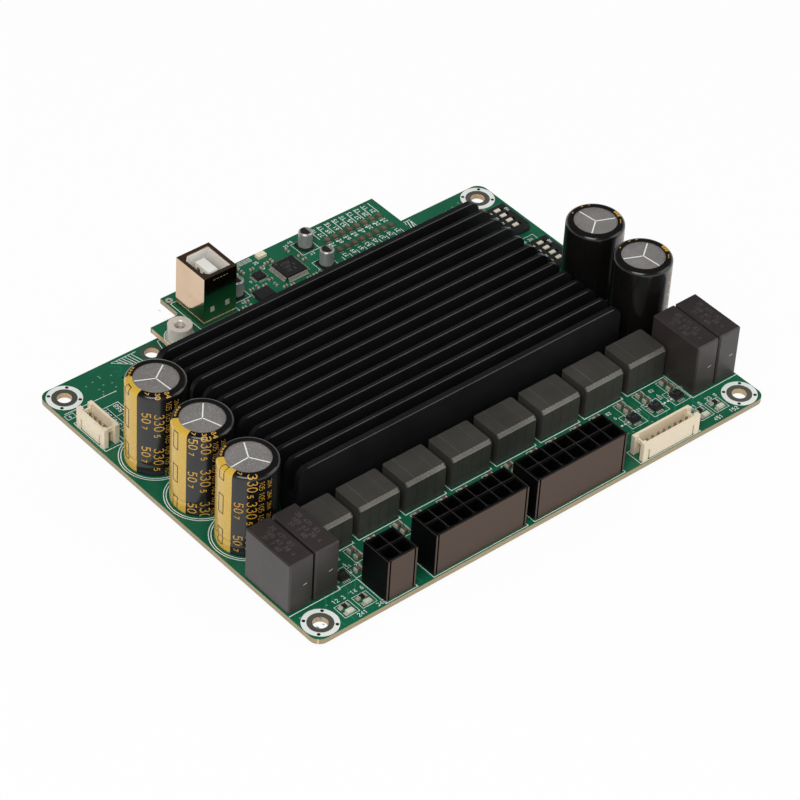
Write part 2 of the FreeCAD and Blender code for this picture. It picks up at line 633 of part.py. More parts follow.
def make_switches():
    """Two four-way switches: bodies with undercut slots, eight sliders and the flat leads below."""
    leads = []
    number = 0
    length = (SWITCH_WAY_COUNT - 1) * SWITCH_PITCH + 2 * SWITCH_END
    top = BOARD_T + SWITCH_GAP + SWITCH_H
    foot_z = top - SLIDER_DEPTH
    for index, centre_y in enumerate(SWITCH_CENTRES_Y):
        body = chip_body(SWITCH_X, centre_y, BOARD_T + SWITCH_GAP, SWITCH_W, length, SWITCH_H)
        cutters = []
        foot = 2 * SLIDER_FOOT
        for x, y in slider_spots(centre_y):
            cutters.append(block(SWITCH_X, y, foot_z, SLIDER_SLOT_L, SLIDER_SLOT_W, SWITCH_H))
            cavity_h = SLIDER_FOOT_H + 2 * SLIDER_CLEARANCE
            cutters.append(block(SWITCH_X, y, foot_z, SLIDER_SLOT_L + foot, SLIDER_SLOT_W + foot, cavity_h))
            number += 1
            z = foot_z + SLIDER_CLEARANCE
            knob = block(x, y, z, SLIDER_L, SLIDER_W, top + SLIDER_PROUD - z)
            carriage = block(x, y, z, SLIDER_L + foot, SLIDER_W + foot, SLIDER_FOOT_H)
            save(f"switch_slider_{number}", knob.fuse(carriage).removeSplitter())
            for side in (-1, 1):
                lead_x = SWITCH_X + side * (SWITCH_W / 2 + SWITCH_LEAD_PROUD - SWITCH_LEAD_L / 2)
                leads.append(block(lead_x, y, BOARD_T, SWITCH_LEAD_L, SWITCH_LEAD_W, SWITCH_GAP))
        save(f"switch_body_{index + 1}", body.cut(cutters[0].multiFuse(cutters[1:])))
    save("switch_leads", Part.makeCompound(leads))


def upper_board_outline():
    """Corners of the upper board, anticlockwise from its front left corner."""
    corners = [(LOBE_LEFT, UPPER_FRONT), (UPPER_RIGHT, UPPER_FRONT), (UPPER_RIGHT, UPPER_BACK)]
    corners += [(UPPER_LEFT, UPPER_BACK), (UPPER_LEFT, LOBE_BACK), (LOBE_LEFT, LOBE_BACK)]
    return corners


def usb_pin_spots():
    """Centres of the four solder pins of the USB socket."""
    return [(USB_X + dx, USB_Y + dy) for dx in row(2, USB_TONGUE_W / 2) for dy in row(2, USB_CONTACT_SPACING)]


def make_upper_board():
    """The board that carries the USB socket, with its notch and holes."""
    board = prism([(x, y, UPPER_BOTTOM) for x, y in upper_board_outline()], (0, 0, UPPER_T))
    for edge in upright_edges(board):
        if abs(edge.BoundBox.XMin - UPPER_LEFT) < 1e-6 and abs(edge.BoundBox.YMin - LOBE_BACK) < 1e-6:
            inner = edge
    board = board.makeFillet(NOTCH_R, [inner])
    clear = SCREW_R + SCREW_CLEARANCE
    cutters = [facet_rod(ROUND_SPACER_X, ROUND_SPACER_Y, UPPER_BOTTOM - 1, clear, UPPER_T + 2, ROUND_SIDES)]
    cutters += square_holes(usb_pin_spots(), USB_PIN_W, UPPER_BOTTOM, UPPER_T)
    for side in (-1, 1):
        leg_x = USB_X + side * (USB_W - USB_SHEET) / 2
        slot_x = USB_SHEET + 2 * LEAD_FIT
        cutters.append(block(leg_x, USB_Y, UPPER_BOTTOM - 1, slot_x, USB_LEG_W + 2 * LEAD_FIT, UPPER_T + 2))
    save("upper_board", board.cut(Part.makeCompound(cutters)))


def make_board_links():
    """What joins the boards: the stacking plug and socket, the spacers and the screw."""
    socket = block(LINK_X, LINK_Y, BOARD_T, LINK_LENGTH, LINK_W, LINK_SOCKET_H)
    well_l = LINK_LENGTH - 2 * LINK_WALL
    well_w = LINK_W - 2 * LINK_WALL
    well = block(LINK_X, LINK_Y, BOARD_T + LINK_FLOOR, well_l, well_w, LINK_SOCKET_H)
    save("link_socket", socket.cut(well))
    cap_z = BOARD_T + LINK_SOCKET_H
    plug = block(LINK_X, LINK_Y, cap_z, LINK_LENGTH, LINK_W, UPPER_BOTTOM - cap_z)
    tongue_z = BOARD_T + LINK_FLOOR + LINK_FIT
    tongue = block(LINK_X, LINK_Y, tongue_z, well_l - 2 * LINK_FIT, well_w - 2 * LINK_FIT, UPPER_BOTTOM - tongue_z)
    save("link_plug", plug.fuse(tongue).removeSplitter())
    spot = (ROUND_SPACER_X, ROUND_SPACER_Y)
    bore = facet_rod(*spot, BOARD_T, SCREW_R + SCREW_CLEARANCE, LINK_GAP, ROUND_SIDES)
    ring = facet_rod(*spot, BOARD_T, SPACER_R, LINK_GAP, ROUND_SIDES)
    save("link_spacer", ring.cut(bore))
    c = ROUND_SPACER_CHAMFER
    thread = SCREW_R + THREAD_FIT
    ring = facet_rod(*spot, UPPER_TOP, ROUND_SPACER_R, ROUND_SPACER_H, CAN_SIDES)
    bore = facet_rod(*spot, UPPER_TOP, thread, ROUND_SPACER_H, ROUND_SIDES)
    mouth = facet_cone(*spot, UPPER_TOP + ROUND_SPACER_H - c, thread, thread + c, c, ROUND_SIDES)
    save("round_spacer", ring.cut(bore).cut(mouth))
    save("link_screw", screw(ROUND_SPACER_X, ROUND_SPACER_Y, UPPER_TOP + LINK_SCREW_REACH))


def mouth_prism(z, height, inset):
    """The mouth of the USB socket as a prism: a rectangle with two corners cut off."""
    left = USB_X - USB_W / 2 + inset
    right = USB_X + USB_W / 2 - inset
    front = USB_Y - USB_D / 2 + inset
    back = USB_Y + USB_D / 2 - inset
    c = USB_MOUTH_CHAMFER
    points = [(right, front), (right, back), (left + c, back), (left, back - c), (left, front + c), (left + c, front)]
    return prism([(x, y, z) for x, y in points], (0, 0, height))


def make_usb_socket():
    """The folded shell, the white insert with its tongue, and the four contacts."""
    shell = block(USB_X, USB_Y, UPPER_TOP, USB_W, USB_D, USB_H)
    room = block(USB_X, USB_Y, UPPER_TOP - 1, USB_W - 2 * USB_SHEET, USB_D - 2 * USB_SHEET, USB_H + 1 - USB_SHEET)
    shell = shell.cut(room).cut(mouth_prism(UPPER_TOP + USB_H - 1, 2, USB_FLANGE))
    front = USB_Y - USB_D / 2
    for dx in row(2, USB_LATCH_SPACING):
        window = block(USB_X + dx, front, UPPER_TOP + USB_LATCH_Z, USB_LATCH_W, 4 * USB_SHEET, USB_LATCH_H)
        shell = shell.cut(window)
    for side in (-1, 1):
        leg_x = USB_X + side * (USB_W - USB_SHEET) / 2
        shell = shell.fuse(block(leg_x, USB_Y, UPPER_TOP - USB_LEG_L, USB_SHEET, USB_LEG_W, USB_LEG_L))
    save("usb_shell", shell.removeSplitter())
    insert_h = USB_H - USB_SHEET
    gap = USB_SHEET + LEAD_FIT
    insert = block(USB_X, USB_Y, UPPER_TOP, USB_W - 2 * gap, USB_D - 2 * gap, insert_h)
    floor = UPPER_TOP + insert_h - USB_CAVITY
    insert = insert.cut(mouth_prism(floor, USB_CAVITY + 1, USB_WALL))
    tongue_h = USB_CAVITY - USB_TONGUE_DROP
    insert = insert.fuse(block(USB_X, USB_Y, floor, USB_TONGUE_W, USB_TONGUE_D, tongue_h))
    contacts = []
    for x, y in usb_pin_spots():
        side = 1 if x > USB_X else -1
        face_x = USB_X + side * (USB_TONGUE_W / 2 + USB_CONTACT_T / 2)
        strip = block(face_x, y, floor, USB_CONTACT_T, USB_CONTACT_W, tongue_h - USB_TONGUE_DROP)
        tail = block(x, y, UPPER_TOP - USB_LEG_L, USB_PIN_W, USB_PIN_W, floor - UPPER_TOP + USB_LEG_L)
        bridge = Part.makeBox(abs(face_x - x) + USB_PIN_W / 2, USB_PIN_W, USB_PIN_W)
        bridge.translate(Vector(min(x, face_x), y - USB_PIN_W / 2, floor - USB_PIN_W))
        contacts.append(strip.fuse([tail, bridge]).removeSplitter())
    save("usb_insert", insert.cut(Part.makeCompound(contacts)).removeSplitter())
    save("usb_contacts", Part.makeCompound(contacts))


def make_small_capacitors():
    """Three small can capacitors on the upper board, each on a moulded base."""
    cans = []
    bases = []
    half = SMALL_CAP_BASE / 2
    near = half - SMALL_CAP_BASE_CHAMFER
    plan = [(-near, -half), (near, -half), (half, -near), (half, half), (-half, half), (-half, -near)]
    for x, y in SMALL_CAP_SPOTS:
        bases.append(prism([(x + px, y + py, UPPER_TOP) for px, py in plan], (0, 0, SMALL_CAP_BASE_H)))
        height = SMALL_CAP_H - SMALL_CAP_BASE_H
        z = UPPER_TOP + SMALL_CAP_BASE_H
        cans.append(facet_can(x, y, z, SMALL_CAP_R, height, SMALL_CAP_SHOULDER, SMALL_CAN_SIDES))
    save("small_capacitor_cans", Part.makeCompound(cans))
    save("small_capacitor_bases", Part.makeCompound(bases))


def make_chips():
    """The processor, the small chips, the chip capacitors, the resistors and the indicators."""
    body = chip_body(PROCESSOR_X, PROCESSOR_Y, UPPER_TOP, PROCESSOR_SIDE, PROCESSOR_SIDE, PROCESSOR_H)
    save("processor_chip", body)
    drivers = [chip_body(x, DRIVER_Y, BOARD_T, DRIVER_SIDE, DRIVER_SIDE, DRIVER_H) for x in DRIVER_SPOTS_X]
    save("driver_chips", Part.makeCompound(drivers))
    chips = [chip_body(x, y, UPPER_TOP, dx, dy, dz) for x, y, dx, dy, dz in UPPER_IC_SPOTS]
    save("upper_board_chips", Part.makeCompound(chips))
    capacitors = []
    for x in row(INDUCTOR_COUNT, INDUCTOR_PITCH):
        for dx in (-CHIP_CAP_OFFSET_X, CHIP_CAP_OFFSET_X):
            capacitors += [block(x + dx, y, BOARD_T, *CHIP_CAP_SIZE) for y in CHIP_CAP_ROWS_Y]
    capacitors.append(block(CHIP_CAP_EXTRA_X, CHIP_CAP_EXTRA_Y, BOARD_T, *CHIP_CAP_SIZE))
    save("filter_chip_capacitors", Part.makeCompound(capacitors))
    capacitors = []
    for y in UPPER_CHIP_ROWS_Y:
        for i in range(UPPER_CHIP_COUNT):
            x = UPPER_CHIP_FIRST_X - i * UPPER_CHIP_PITCH
            capacitors.append(block(x, y, UPPER_TOP, *UPPER_CHIP_SIZE))
    save("upper_chip_capacitors", Part.makeCompound(capacitors))
    save("indicator_leds", Part.makeCompound([block(x, y, BOARD_T, *LED_SIZE) for x, y in LED_SPOTS]))
    resistors = [block(x, y + RESISTOR_STEP_Y, BOARD_T, *RESISTOR_SIZE) for x, y in LED_SPOTS]
    save("chip_resistors", Part.makeCompound(resistors))


make_main_board()
make_heatsink()
make_power_chips()
make_round_capacitors()
make_film_capacitors()
make_inductors()
make_power_headers()
make_signal_headers()
make_switches()
make_upper_board()
make_board_links()
make_usb_socket()
make_small_capacitors()
make_chips()
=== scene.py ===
"""Looks of the multichannel amplifier board: finishes, printing, small parts, studio and camera.

Lengths in this file are millimetres in the frame of the packed model, and are turned into
metres where a mesh is made.
"""

import logging
import math
from dataclasses import dataclass, field
from enum import Enum
from typing import Callable, Sequence

import bmesh
import bpy
import numpy as np
from mathutils import Matrix, Vector


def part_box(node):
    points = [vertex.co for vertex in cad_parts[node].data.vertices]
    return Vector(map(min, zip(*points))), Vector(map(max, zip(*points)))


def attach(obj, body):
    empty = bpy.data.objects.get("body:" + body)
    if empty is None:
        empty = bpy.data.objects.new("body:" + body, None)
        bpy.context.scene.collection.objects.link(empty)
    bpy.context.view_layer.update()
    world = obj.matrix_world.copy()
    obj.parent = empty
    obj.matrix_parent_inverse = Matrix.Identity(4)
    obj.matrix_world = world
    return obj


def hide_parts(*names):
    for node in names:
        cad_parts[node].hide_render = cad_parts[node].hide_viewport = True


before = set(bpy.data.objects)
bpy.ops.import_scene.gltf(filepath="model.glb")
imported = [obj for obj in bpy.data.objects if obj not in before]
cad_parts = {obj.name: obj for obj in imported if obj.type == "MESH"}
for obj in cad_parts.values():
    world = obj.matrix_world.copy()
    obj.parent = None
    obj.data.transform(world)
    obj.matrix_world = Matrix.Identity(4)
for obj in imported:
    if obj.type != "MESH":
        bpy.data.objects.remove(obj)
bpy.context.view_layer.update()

MM = 0.001
BODY = "amplifier"
BOARD_TOP = 1.6
UPPER_TOP = 6.2
FILM_TOP = 17.8
SMALL_CAN_TOP = 11.6
PROCESSOR_TOP = 7.6
SWITCH_TOP = 4.22
DRIVER_TOP = 2.6
DRIVER_Y = -43.1
CAN_SPOTS = ((15.0, 59.8), (14.7, 50.3), (-12.9, 54.6))
CHIP_ENDS = (-0.82, 0.82)
POST = (-35.5, 49.8)
NOTCH = (2.0, 43.0)
INK_LIFT = 0.03
INDUCTORS_X = (np.arange(8) - 3.5) * 15.24
SWITCHES_Y = (38.45, 20.7)
DRIVERS_X = (-56.8, 41.5, 49.4, 57.0)
LIGHTS = ((-63.0, -53.7), (-57.4, -53.7), (57.8, -53.2), (63.2, -53.2))
RGB = tuple[float, float, float]
Place = Callable[[np.ndarray], np.ndarray]

log = logging.getLogger("amplifier_board")


def srgb(red: float, green: float, blue: float) -> RGB:
    """Linear colour of a screen colour given in 0 to 255.

    Args:
        red: red share.
        green: green share.
        blue: blue share.

    Returns:
        The three linear values: the fifth part above the toe is raised to the power 2.4.
    """
    share = np.array([red, green, blue]) / 255
    linear = np.where(share <= 0.04045, share / 12.92, ((share + 0.055) / 1.055) ** 2.4)
    return tuple(float(value) for value in linear)


# ---- Node trees

class Graph:
    """A short way to add linked nodes to one node tree."""

    def __init__(self, tree: bpy.types.NodeTree) -> None:
        """Keep the tree that the nodes go into."""
        self.tree = tree

    def add(self, kind: str, settings: dict | None = None, **inputs: object) -> bpy.types.Node:
        """Add one node.

        Args:
            kind: type name of the node.
            settings: attributes to set on the node.
            inputs: values or sockets by input name, with spaces written as underscores, or by place as in_0.

        Returns:
            The new node.
        """
        node = self.tree.nodes.new(kind)
        for name, value in (settings or {}).items():
            setattr(node, name, value)
        for name, value in inputs.items():
            key = int(name[3:]) if name.startswith("in_") else name.replace("_", " ")
            if isinstance(value, bpy.types.NodeSocket):
                self.tree.links.new(value, node.inputs[key])
            else:
                node.inputs[key].default_value = value
        return node

    def maths(self, operation: str, first: object, second: object = 0.0) -> bpy.types.NodeSocket:
        """Add a Math node and return its value."""
        return self.add("ShaderNodeMath", {"operation": operation}, in_0=first, in_1=second).outputs[0]

    def span(self, value: object, low: float, high: float, first: float = 0.0, last: float = 1.0
             ) -> bpy.types.NodeSocket:
        """Map the range from low to high onto first to last and return the value."""
        return self.add("ShaderNodeMapRange", Value=value, From_Min=low, From_Max=high, To_Min=first,
                        To_Max=last).outputs[0]

    def blend(self, share: object, first: object, second: object) -> bpy.types.NodeSocket:
        """Mix two colours by a share and return the result."""
        node = self.add("ShaderNodeMix", {"data_type": "RGBA"}, in_0=share)
        for place, value in ((6, first), (7, second)):
            if isinstance(value, bpy.types.NodeSocket):
                self.tree.links.new(value, node.inputs[place])
            else:
                node.inputs[place].default_value = (*value, 1.0)
        return node.outputs[2]


class Effect(Enum):
    """Shared surface effects, each a node group with a vector and a scale."""

    GRAIN = "fine_grain"
    DRIFT = "slow_drift"
    SPECKLE = "bright_speckle"
    STREAKS = "drawn_streaks"


class Effects:
    """Builds each shared effect once and hands out its node group."""

    def __init__(self) -> None:
        """Start with no groups built."""
        self.groups: dict[Effect, bpy.types.NodeTree] = {}

    def _empty(self, effect: Effect) -> tuple[Graph, bpy.types.Node, bpy.types.Node]:
        """Make a group with the inputs Vector and Scale and the output Value."""
        tree = bpy.data.node_groups.new(effect.value, "ShaderNodeTree")
        tree.interface.new_socket("Vector", in_out="INPUT", socket_type="NodeSocketVector")
        tree.interface.new_socket("Scale", in_out="INPUT", socket_type="NodeSocketFloat")
        tree.interface.new_socket("Value", in_out="OUTPUT", socket_type="NodeSocketFloat")
        graph = Graph(tree)
        return graph, graph.add("NodeGroupInput"), graph.add("NodeGroupOutput")

    def get(self, effect: Effect) -> bpy.types.NodeTree:
        """Return the group of an effect, building it the first time.

        Args:
            effect: which effect.

        Returns:
            A node tree whose Value runs from 0 to 1 over the surface. Grain is two noises added,
            drift one slow noise, speckle the top of a noise, and streaks a noise stretched along X.
        """
        if effect in self.groups:
            return self.groups[effect]
        graph, source, sink = self._empty(effect)
        vector, scale = source.outputs["Vector"], source.outputs["Scale"]
        if effect is Effect.GRAIN:
            fine = graph.add("ShaderNodeTexNoise", Vector=vector, Scale=scale, Detail=3.0, Roughness=0.6)
            wide = graph.maths("MULTIPLY", scale, 0.23)
            slow = graph.add("ShaderNodeTexNoise", Vector=vector, Scale=wide, Detail=2.0)
            value = graph.maths("MULTIPLY", graph.maths("ADD", fine.outputs[0], slow.outputs[0]), 0.5)
        elif effect is Effect.DRIFT:
            noise = graph.add("ShaderNodeTexNoise", Vector=vector, Scale=scale, Detail=2.0, Roughness=0.5)
            value = graph.span(noise.outputs[0], 0.3, 0.7)
        elif effect is Effect.SPECKLE:
            noise = graph.add("ShaderNodeTexNoise", Vector=vector, Scale=scale, Detail=1.0)
            value = graph.span(noise.outputs[0], 0.58, 0.72)
        else:
            stretched = graph.add("ShaderNodeMapping", Vector=vector)
            stretched.inputs["Scale"].default_value = (0.012, 1.0, 1.0)
            noise = graph.add("ShaderNodeTexNoise", Vector=stretched.outputs[0], Scale=scale, Detail=2.0)
            value = noise.outputs[0]
        graph.tree.links.new(value, sink.inputs["Value"])
        self.groups[effect] = graph.tree
        return graph.tree


EFFECTS = Effects()


def effect_value(graph: Graph, effect: Effect, vector: bpy.types.NodeSocket,
                 scale: float) -> bpy.types.NodeSocket:
    """Place a shared effect in a material and return its value.

    Args:
        graph: the material's graph.
        effect: which effect.
        vector: coordinates that the effect follows.
        scale: scale of the pattern per metre.

    Returns:
        The effect's value socket.
    """
    node = graph.add("ShaderNodeGroup", {"node_tree": EFFECTS.get(effect)}, Vector=vector, Scale=scale)
    return node.outputs["Value"]


@dataclass(frozen=True)
class Finish:
    """One moulded, painted, printed or metal surface."""

    name: str
    colour: RGB
    second: RGB
    roughness: float = 0.5
    roughness_spread: float = 0.12
    metallic: float = 0.0
    specular: float = 0.5
    coat: float = 0.0
    coat_roughness: float = 0.1
    drift_scale: float = 90.0
    grain_scale: float = 2600.0
    grain_depth: float = 0.01
    speckle: float = 0.0
    speckle_scale: float = 5200.0
    speckle_colour: RGB = (0.5, 0.5, 0.5)
    streaks: float = 0.0

    def base_colour(self, graph: Graph, place: bpy.types.NodeSocket) -> bpy.types.NodeSocket:
        """Return the colour: two tones by slow drift, with specks of a third.

        Args:
            graph: the material's graph.
            place: coordinates on the object.

        Returns:
            The colour socket.
        """
        drift = effect_value(graph, Effect.DRIFT, place, self.drift_scale)
        colour = graph.blend(drift, self.colour, self.second)
        if self.speckle:
            specks = effect_value(graph, Effect.SPECKLE, place, self.speckle_scale)
            colour = graph.blend(graph.maths("MULTIPLY", specks, self.speckle), colour, self.speckle_colour)
        return colour

    def build(self) -> bpy.types.Material:
        """Make the material.

        Returns:
            A material with one Principled shader, whose roughness and bump follow the grain.
        """
        material = bpy.data.materials.new(self.name)
        material.use_nodes = True
        tree = material.node_tree
        tree.nodes.clear()
        graph = Graph(tree)
        place = graph.add("ShaderNodeTexCoord").outputs["Object"]
        colour = self.base_colour(graph, place)
        grain = effect_value(graph, Effect.GRAIN, place, self.grain_scale)
        low = self.roughness - self.roughness_spread / 2
        rough = graph.span(grain, 0.3, 0.7, low, low + self.roughness_spread)
        height = grain
        if self.streaks:
            lines = effect_value(graph, Effect.STREAKS, place, self.grain_scale)
            height = graph.maths("ADD", grain, graph.maths("MULTIPLY", lines, self.streaks))
        bump = graph.add("ShaderNodeBump", Height=height, Strength=1.0, Distance=self.grain_depth * MM)
        shader = graph.add("ShaderNodeBsdfPrincipled", Base_Color=colour, Roughness=rough,
                           Normal=bump.outputs[0])
        shader.inputs["Metallic"].default_value = self.metallic
        shader.inputs["Specular IOR Level"].default_value = self.specular
        shader.inputs["Coat Weight"].default_value = self.coat
        shader.inputs["Coat Roughness"].default_value = self.coat_roughness
        output = graph.add("ShaderNodeOutputMaterial")
        tree.links.new(shader.outputs[0], output.inputs["Surface"])
        return material


@dataclass(frozen=True)
class BoardFinish(Finish):
    """A circuit board: green mask above and below, bare laminate on its edges and in its holes."""

    top: float = BOARD_TOP
    thickness: float = 1.6
    edge: RGB = (0.5, 0.4, 0.28)
    edge_second: RGB = (0.6, 0.5, 0.36)
    hole_wall: RGB = srgb(214, 184, 146)
    half: tuple[float, float] = (75.4, 56.6)

    def base_colour(self, graph: Graph, place: bpy.types.NodeSocket) -> bpy.types.NodeSocket:
        """Return green on the two faces and laminate between their heights, paler inside the outline.

        Args:
            graph: the material's graph.
            place: coordinates on the object.

        Returns:
            The colour socket.
        """
        mask = Finish.base_colour(self, graph, place)
        apart = graph.add("ShaderNodeSeparateXYZ", Vector=place).outputs
        height = apart["Z"]
        middle = (self.top - self.thickness / 2) * MM
        off = graph.maths("ABSOLUTE", graph.maths("SUBTRACT", height, middle))
        inside = graph.maths("LESS_THAN", off, (self.thickness / 2 - 0.01) * MM)
        weave = effect_value(graph, Effect.GRAIN, place, 3000.0)
        laminate = graph.blend(weave, self.edge, self.edge_second)
        across = graph.maths("LESS_THAN", graph.maths("ABSOLUTE", apart["X"]), self.half[0] * MM)
        along = graph.maths("LESS_THAN", graph.maths("ABSOLUTE", apart["Y"]), self.half[1] * MM)
        laminate = graph.blend(graph.maths("MULTIPLY", across, along), laminate, self.hole_wall)
        return graph.blend(inside, mask, laminate)


@dataclass(frozen=True)
class HousingFinish(Finish):
    """A moulded black housing whose front wall is painted a lighter brown for the warm light it reflects, and
    whose cells are black.
    """

    # Painted reflection: the lighter brown tone of the front wall stands in for the warm light it reflects.
    front_painted_light: RGB = srgb(84, 70, 61)
    front: float = -56.38

    def base_colour(self, graph: Graph, place: bpy.types.NodeSocket) -> bpy.types.NodeSocket:
        """Return black, with a lighter brown painted on the front wall as painted reflected light.

        Args:
            graph: the material's graph.
            place: coordinates on the object.

        Returns:
            The colour socket.
        """
        black = Finish.base_colour(self, graph, place)
        depth = graph.add("ShaderNodeSeparateXYZ", Vector=place).outputs["Y"]
        # Painted reflection: faces in front of the front plane get the lighter brown tone.
        return graph.blend(graph.maths("LESS_THAN", depth, self.front * MM), black, self.front_painted_light)


@dataclass(frozen=True)
class SleeveFinish(Finish):
    """A shrink sleeve with a gold stripe, placed by the piece's own UV map."""

    stripe: RGB = (0.8, 0.55, 0.15)
    stripe_start: float = 0.0
    stripe_stop: float = 0.0

    def base_colour(self, graph: Graph, place: bpy.types.NodeSocket) -> bpy.types.NodeSocket:
        """Return black with a stripe between two turns round the can.

        Args:
            graph: the material's graph.
            place: coordinates on the object.

        Returns:
            The colour socket.
        """
        black = Finish.base_colour(self, graph, place)
        around = graph.add("ShaderNodeUVMap", {"uv_map": "around"}).outputs[0]
        turn = graph.add("ShaderNodeSeparateXYZ", Vector=around).outputs["X"]
        after = graph.maths("GREATER_THAN", turn, self.stripe_start)
        before = graph.maths("LESS_THAN", turn, self.stripe_stop)
        return graph.blend(graph.maths("MULTIPLY", after, before), black, self.stripe)


# ---- Meshes

def new_piece(name: str, points: np.ndarray, faces: Sequence, finish: Finish,
              body: str = BODY, smooth: float | None = None,
              replaces: Sequence[str] = ()) -> bpy.types.Object:
    """Make one piece from points in millimetres and faces.

    Args:
        name: the piece's name.
        points: N by 3 array of places in millimetres.
        faces: rows of point numbers, wound so that they face outwards.
        finish: its finish.
        body: body that it rides on.
        smooth: largest angle in degrees that is shaded as smooth, or none for flat faces.
        replaces: nodes that it stands for.

    Returns:
        The object, at the origin, with its place in its mesh.
    """
    mesh = bpy.data.meshes.new(name)
    rows = faces.tolist() if isinstance(faces, np.ndarray) else faces
    mesh.from_pydata((np.asarray(points) * MM).tolist(), [], rows)
    mesh.materials.append(SHELF.get(finish))
    if smooth is not None:
        mesh.shade_smooth()
        mesh.set_sharp_from_angle(angle=math.radians(smooth))
    mesh.update()
    piece = bpy.data.objects.new(name, mesh)
    bpy.context.scene.collection.objects.link(piece)
    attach(piece, body)
    if replaces:
        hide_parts(*replaces)
    log.info("piece %s: %d faces", name, len(rows))
    return piece


def dress(finish: Finish, *nodes: str) -> None:
    """Give packed nodes a finish in place of their plain one."""
    material = SHELF.get(finish)
    for node in nodes:
        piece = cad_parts[node]
        if piece.material_slots:
            piece.material_slots[0].material = material
        else:
            piece.data.materials.append(material)


def joined(parts: Sequence[tuple[np.ndarray, np.ndarray]]) -> tuple[np.ndarray, np.ndarray]:
    """Put several lots of points and four-cornered faces together.

    Args:
        parts: pairs of points and faces.

    Returns:
        All points, and all faces with their numbers moved on.
    """
    starts = np.cumsum([0] + [len(points) for points, _ in parts[:-1]])
    points = np.concatenate([points for points, _ in parts])
    faces = np.concatenate([faces + start for (_, faces), start in zip(parts, starts)])
    return points, faces


def grid_faces(rows: int, columns: int, wrap_rows: bool = False, wrap_columns: bool = False) -> np.ndarray:
    """Four-cornered faces of a grid of points numbered row by row.

    Args:
        rows: number of rows of points.
        columns: number of columns of points.
        wrap_rows: join the last row to the first.
        wrap_columns: join the last column to the first.

    Returns:
        Face rows of four point numbers.
    """
    i = np.arange(rows if wrap_rows else rows - 1)[:, None]
    j = np.arange(columns if wrap_columns else columns - 1)[None, :]
    i2, j2 = (i + 1) % rows, (j + 1) % columns
    corners = [i * columns + j, i * columns + j2, i2 * columns + j2, i2 * columns + j]
    return np.stack([np.broadcast_to(c, (i.size, j.size)) for c in corners], -1).reshape(-1, 4)


def blocks(centres: np.ndarray, sizes: np.ndarray) -> tuple[np.ndarray, np.ndarray]:
    """Many upright blocks at once.

    Args:
        centres: N by 3 centres of the undersides.
        sizes: N by 3 sizes, or one size for all.

    Returns:
        Points and faces: each corner is the centre plus or minus half the width and depth, at the
        underside or at the full height.
    """
    centres = np.atleast_2d(centres).astype(float)
    sizes = np.broadcast_to(np.asarray(sizes, float), centres.shape)
    signs = np.array([(-1, -1, 0), (1, -1, 0), (1, 1, 0), (-1, 1, 0),
                      (-1, -1, 1), (1, -1, 1), (1, 1, 1), (-1, 1, 1)])
    scale = np.array([0.5, 0.5, 1.0])
    points = centres[:, None, :] + signs[None] * scale * sizes[:, None, :]
    face = np.array([(0, 3, 2, 1), (4, 5, 6, 7), (0, 1, 5, 4), (1, 2, 6, 5), (2, 3, 7, 6), (3, 0, 4, 7)])
    faces = face[None] + 8 * np.arange(len(centres))[:, None, None]
    return points.reshape(-1, 3), faces.reshape(-1, 4)


def arc(cx: float, cy: float, rx: float, ry: float, start: float, stop: float, steps: int = 12) -> np.ndarray:
    """Points on part of an ellipse, its angles in degrees."""
    turn = np.radians(np.linspace(start, stop, steps))
    return np.stack([cx + rx * np.cos(turn), cy + ry * np.sin(turn)], -1)


def stroke_font() -> dict[str, list[np.ndarray]]:
    """Plain strokes of the digits and a few marks, in a box 0.6 wide and 1 high.

    Returns:
        For each character, its strokes as paths of lines and arcs.
    """
    line = lambda *points: np.array(points, float)
    low = arc(0.3, 0.29, 0.28, 0.29, -160, 90)
    high = arc(0.3, 0.77, 0.23, 0.23, -90, 160)
    return {
        "0": [arc(0.3, 0.5, 0.28, 0.5, 0, 360, 20)],
        "1": [line((0.08, 0.8), (0.32, 1), (0.32, 0))],
        "2": [np.concatenate([arc(0.3, 0.73, 0.27, 0.27, 165, -30), line((0.02, 0), (0.6, 0))])],
        "3": [high[::-1], low[::-1]],
        "4": [line((0.45, 0), (0.45, 1), (0.0, 0.3), (0.62, 0.3))],
        "5": [np.concatenate([line((0.55, 1), (0.1, 1), (0.06, 0.56)),
                              arc(0.3, 0.31, 0.28, 0.31, 110, -150)])],
        "6": [arc(0.3, 0.28, 0.27, 0.28, 0, 360, 16), arc(0.62, 0.3, 0.6, 0.7, 180, 100, 8)],
        "7": [line((0.0, 1), (0.6, 1), (0.22, 0))],
        "8": [arc(0.3, 0.27, 0.28, 0.27, 0, 360, 16), arc(0.3, 0.77, 0.23, 0.23, 0, 360, 16)],
        "9": [arc(0.3, 0.72, 0.27, 0.28, 0, 360, 16), arc(-0.02, 0.7, 0.6, 0.7, 0, -80, 8)],
        "O": [arc(0.3, 0.5, 0.28, 0.5, 0, 360, 20)],
        "N": [line((0.02, 0), (0.02, 1), (0.58, 0), (0.58, 1))],
        "-": [line((0.1, 0.45), (0.5, 0.45))],
        "+": [line((0.1, 0.45), (0.5, 0.45)), line((0.3, 0.25), (0.3, 0.65))],
    }


FONT = stroke_font()


def resample(path: np.ndarray, step: float) -> np.ndarray:
    """Points along a path no further apart than a step, with its corners kept.

    Args:
        path: N by 2 points.
        step: longest distance between neighbours.

    Returns:
        The denser path: each run is cut into equal shares.
    """
    lengths = np.linalg.norm(np.diff(path, axis=0), axis=1)
    counts = np.maximum(1, np.ceil(lengths / step).astype(int))
    shares = np.concatenate([np.arange(n) / n for n in counts])
    run = np.repeat(np.arange(len(counts)), counts)
    dense = path[run] + (path[run + 1] - path[run]) * shares[:, None]
    return np.vstack([dense, path[-1:]])


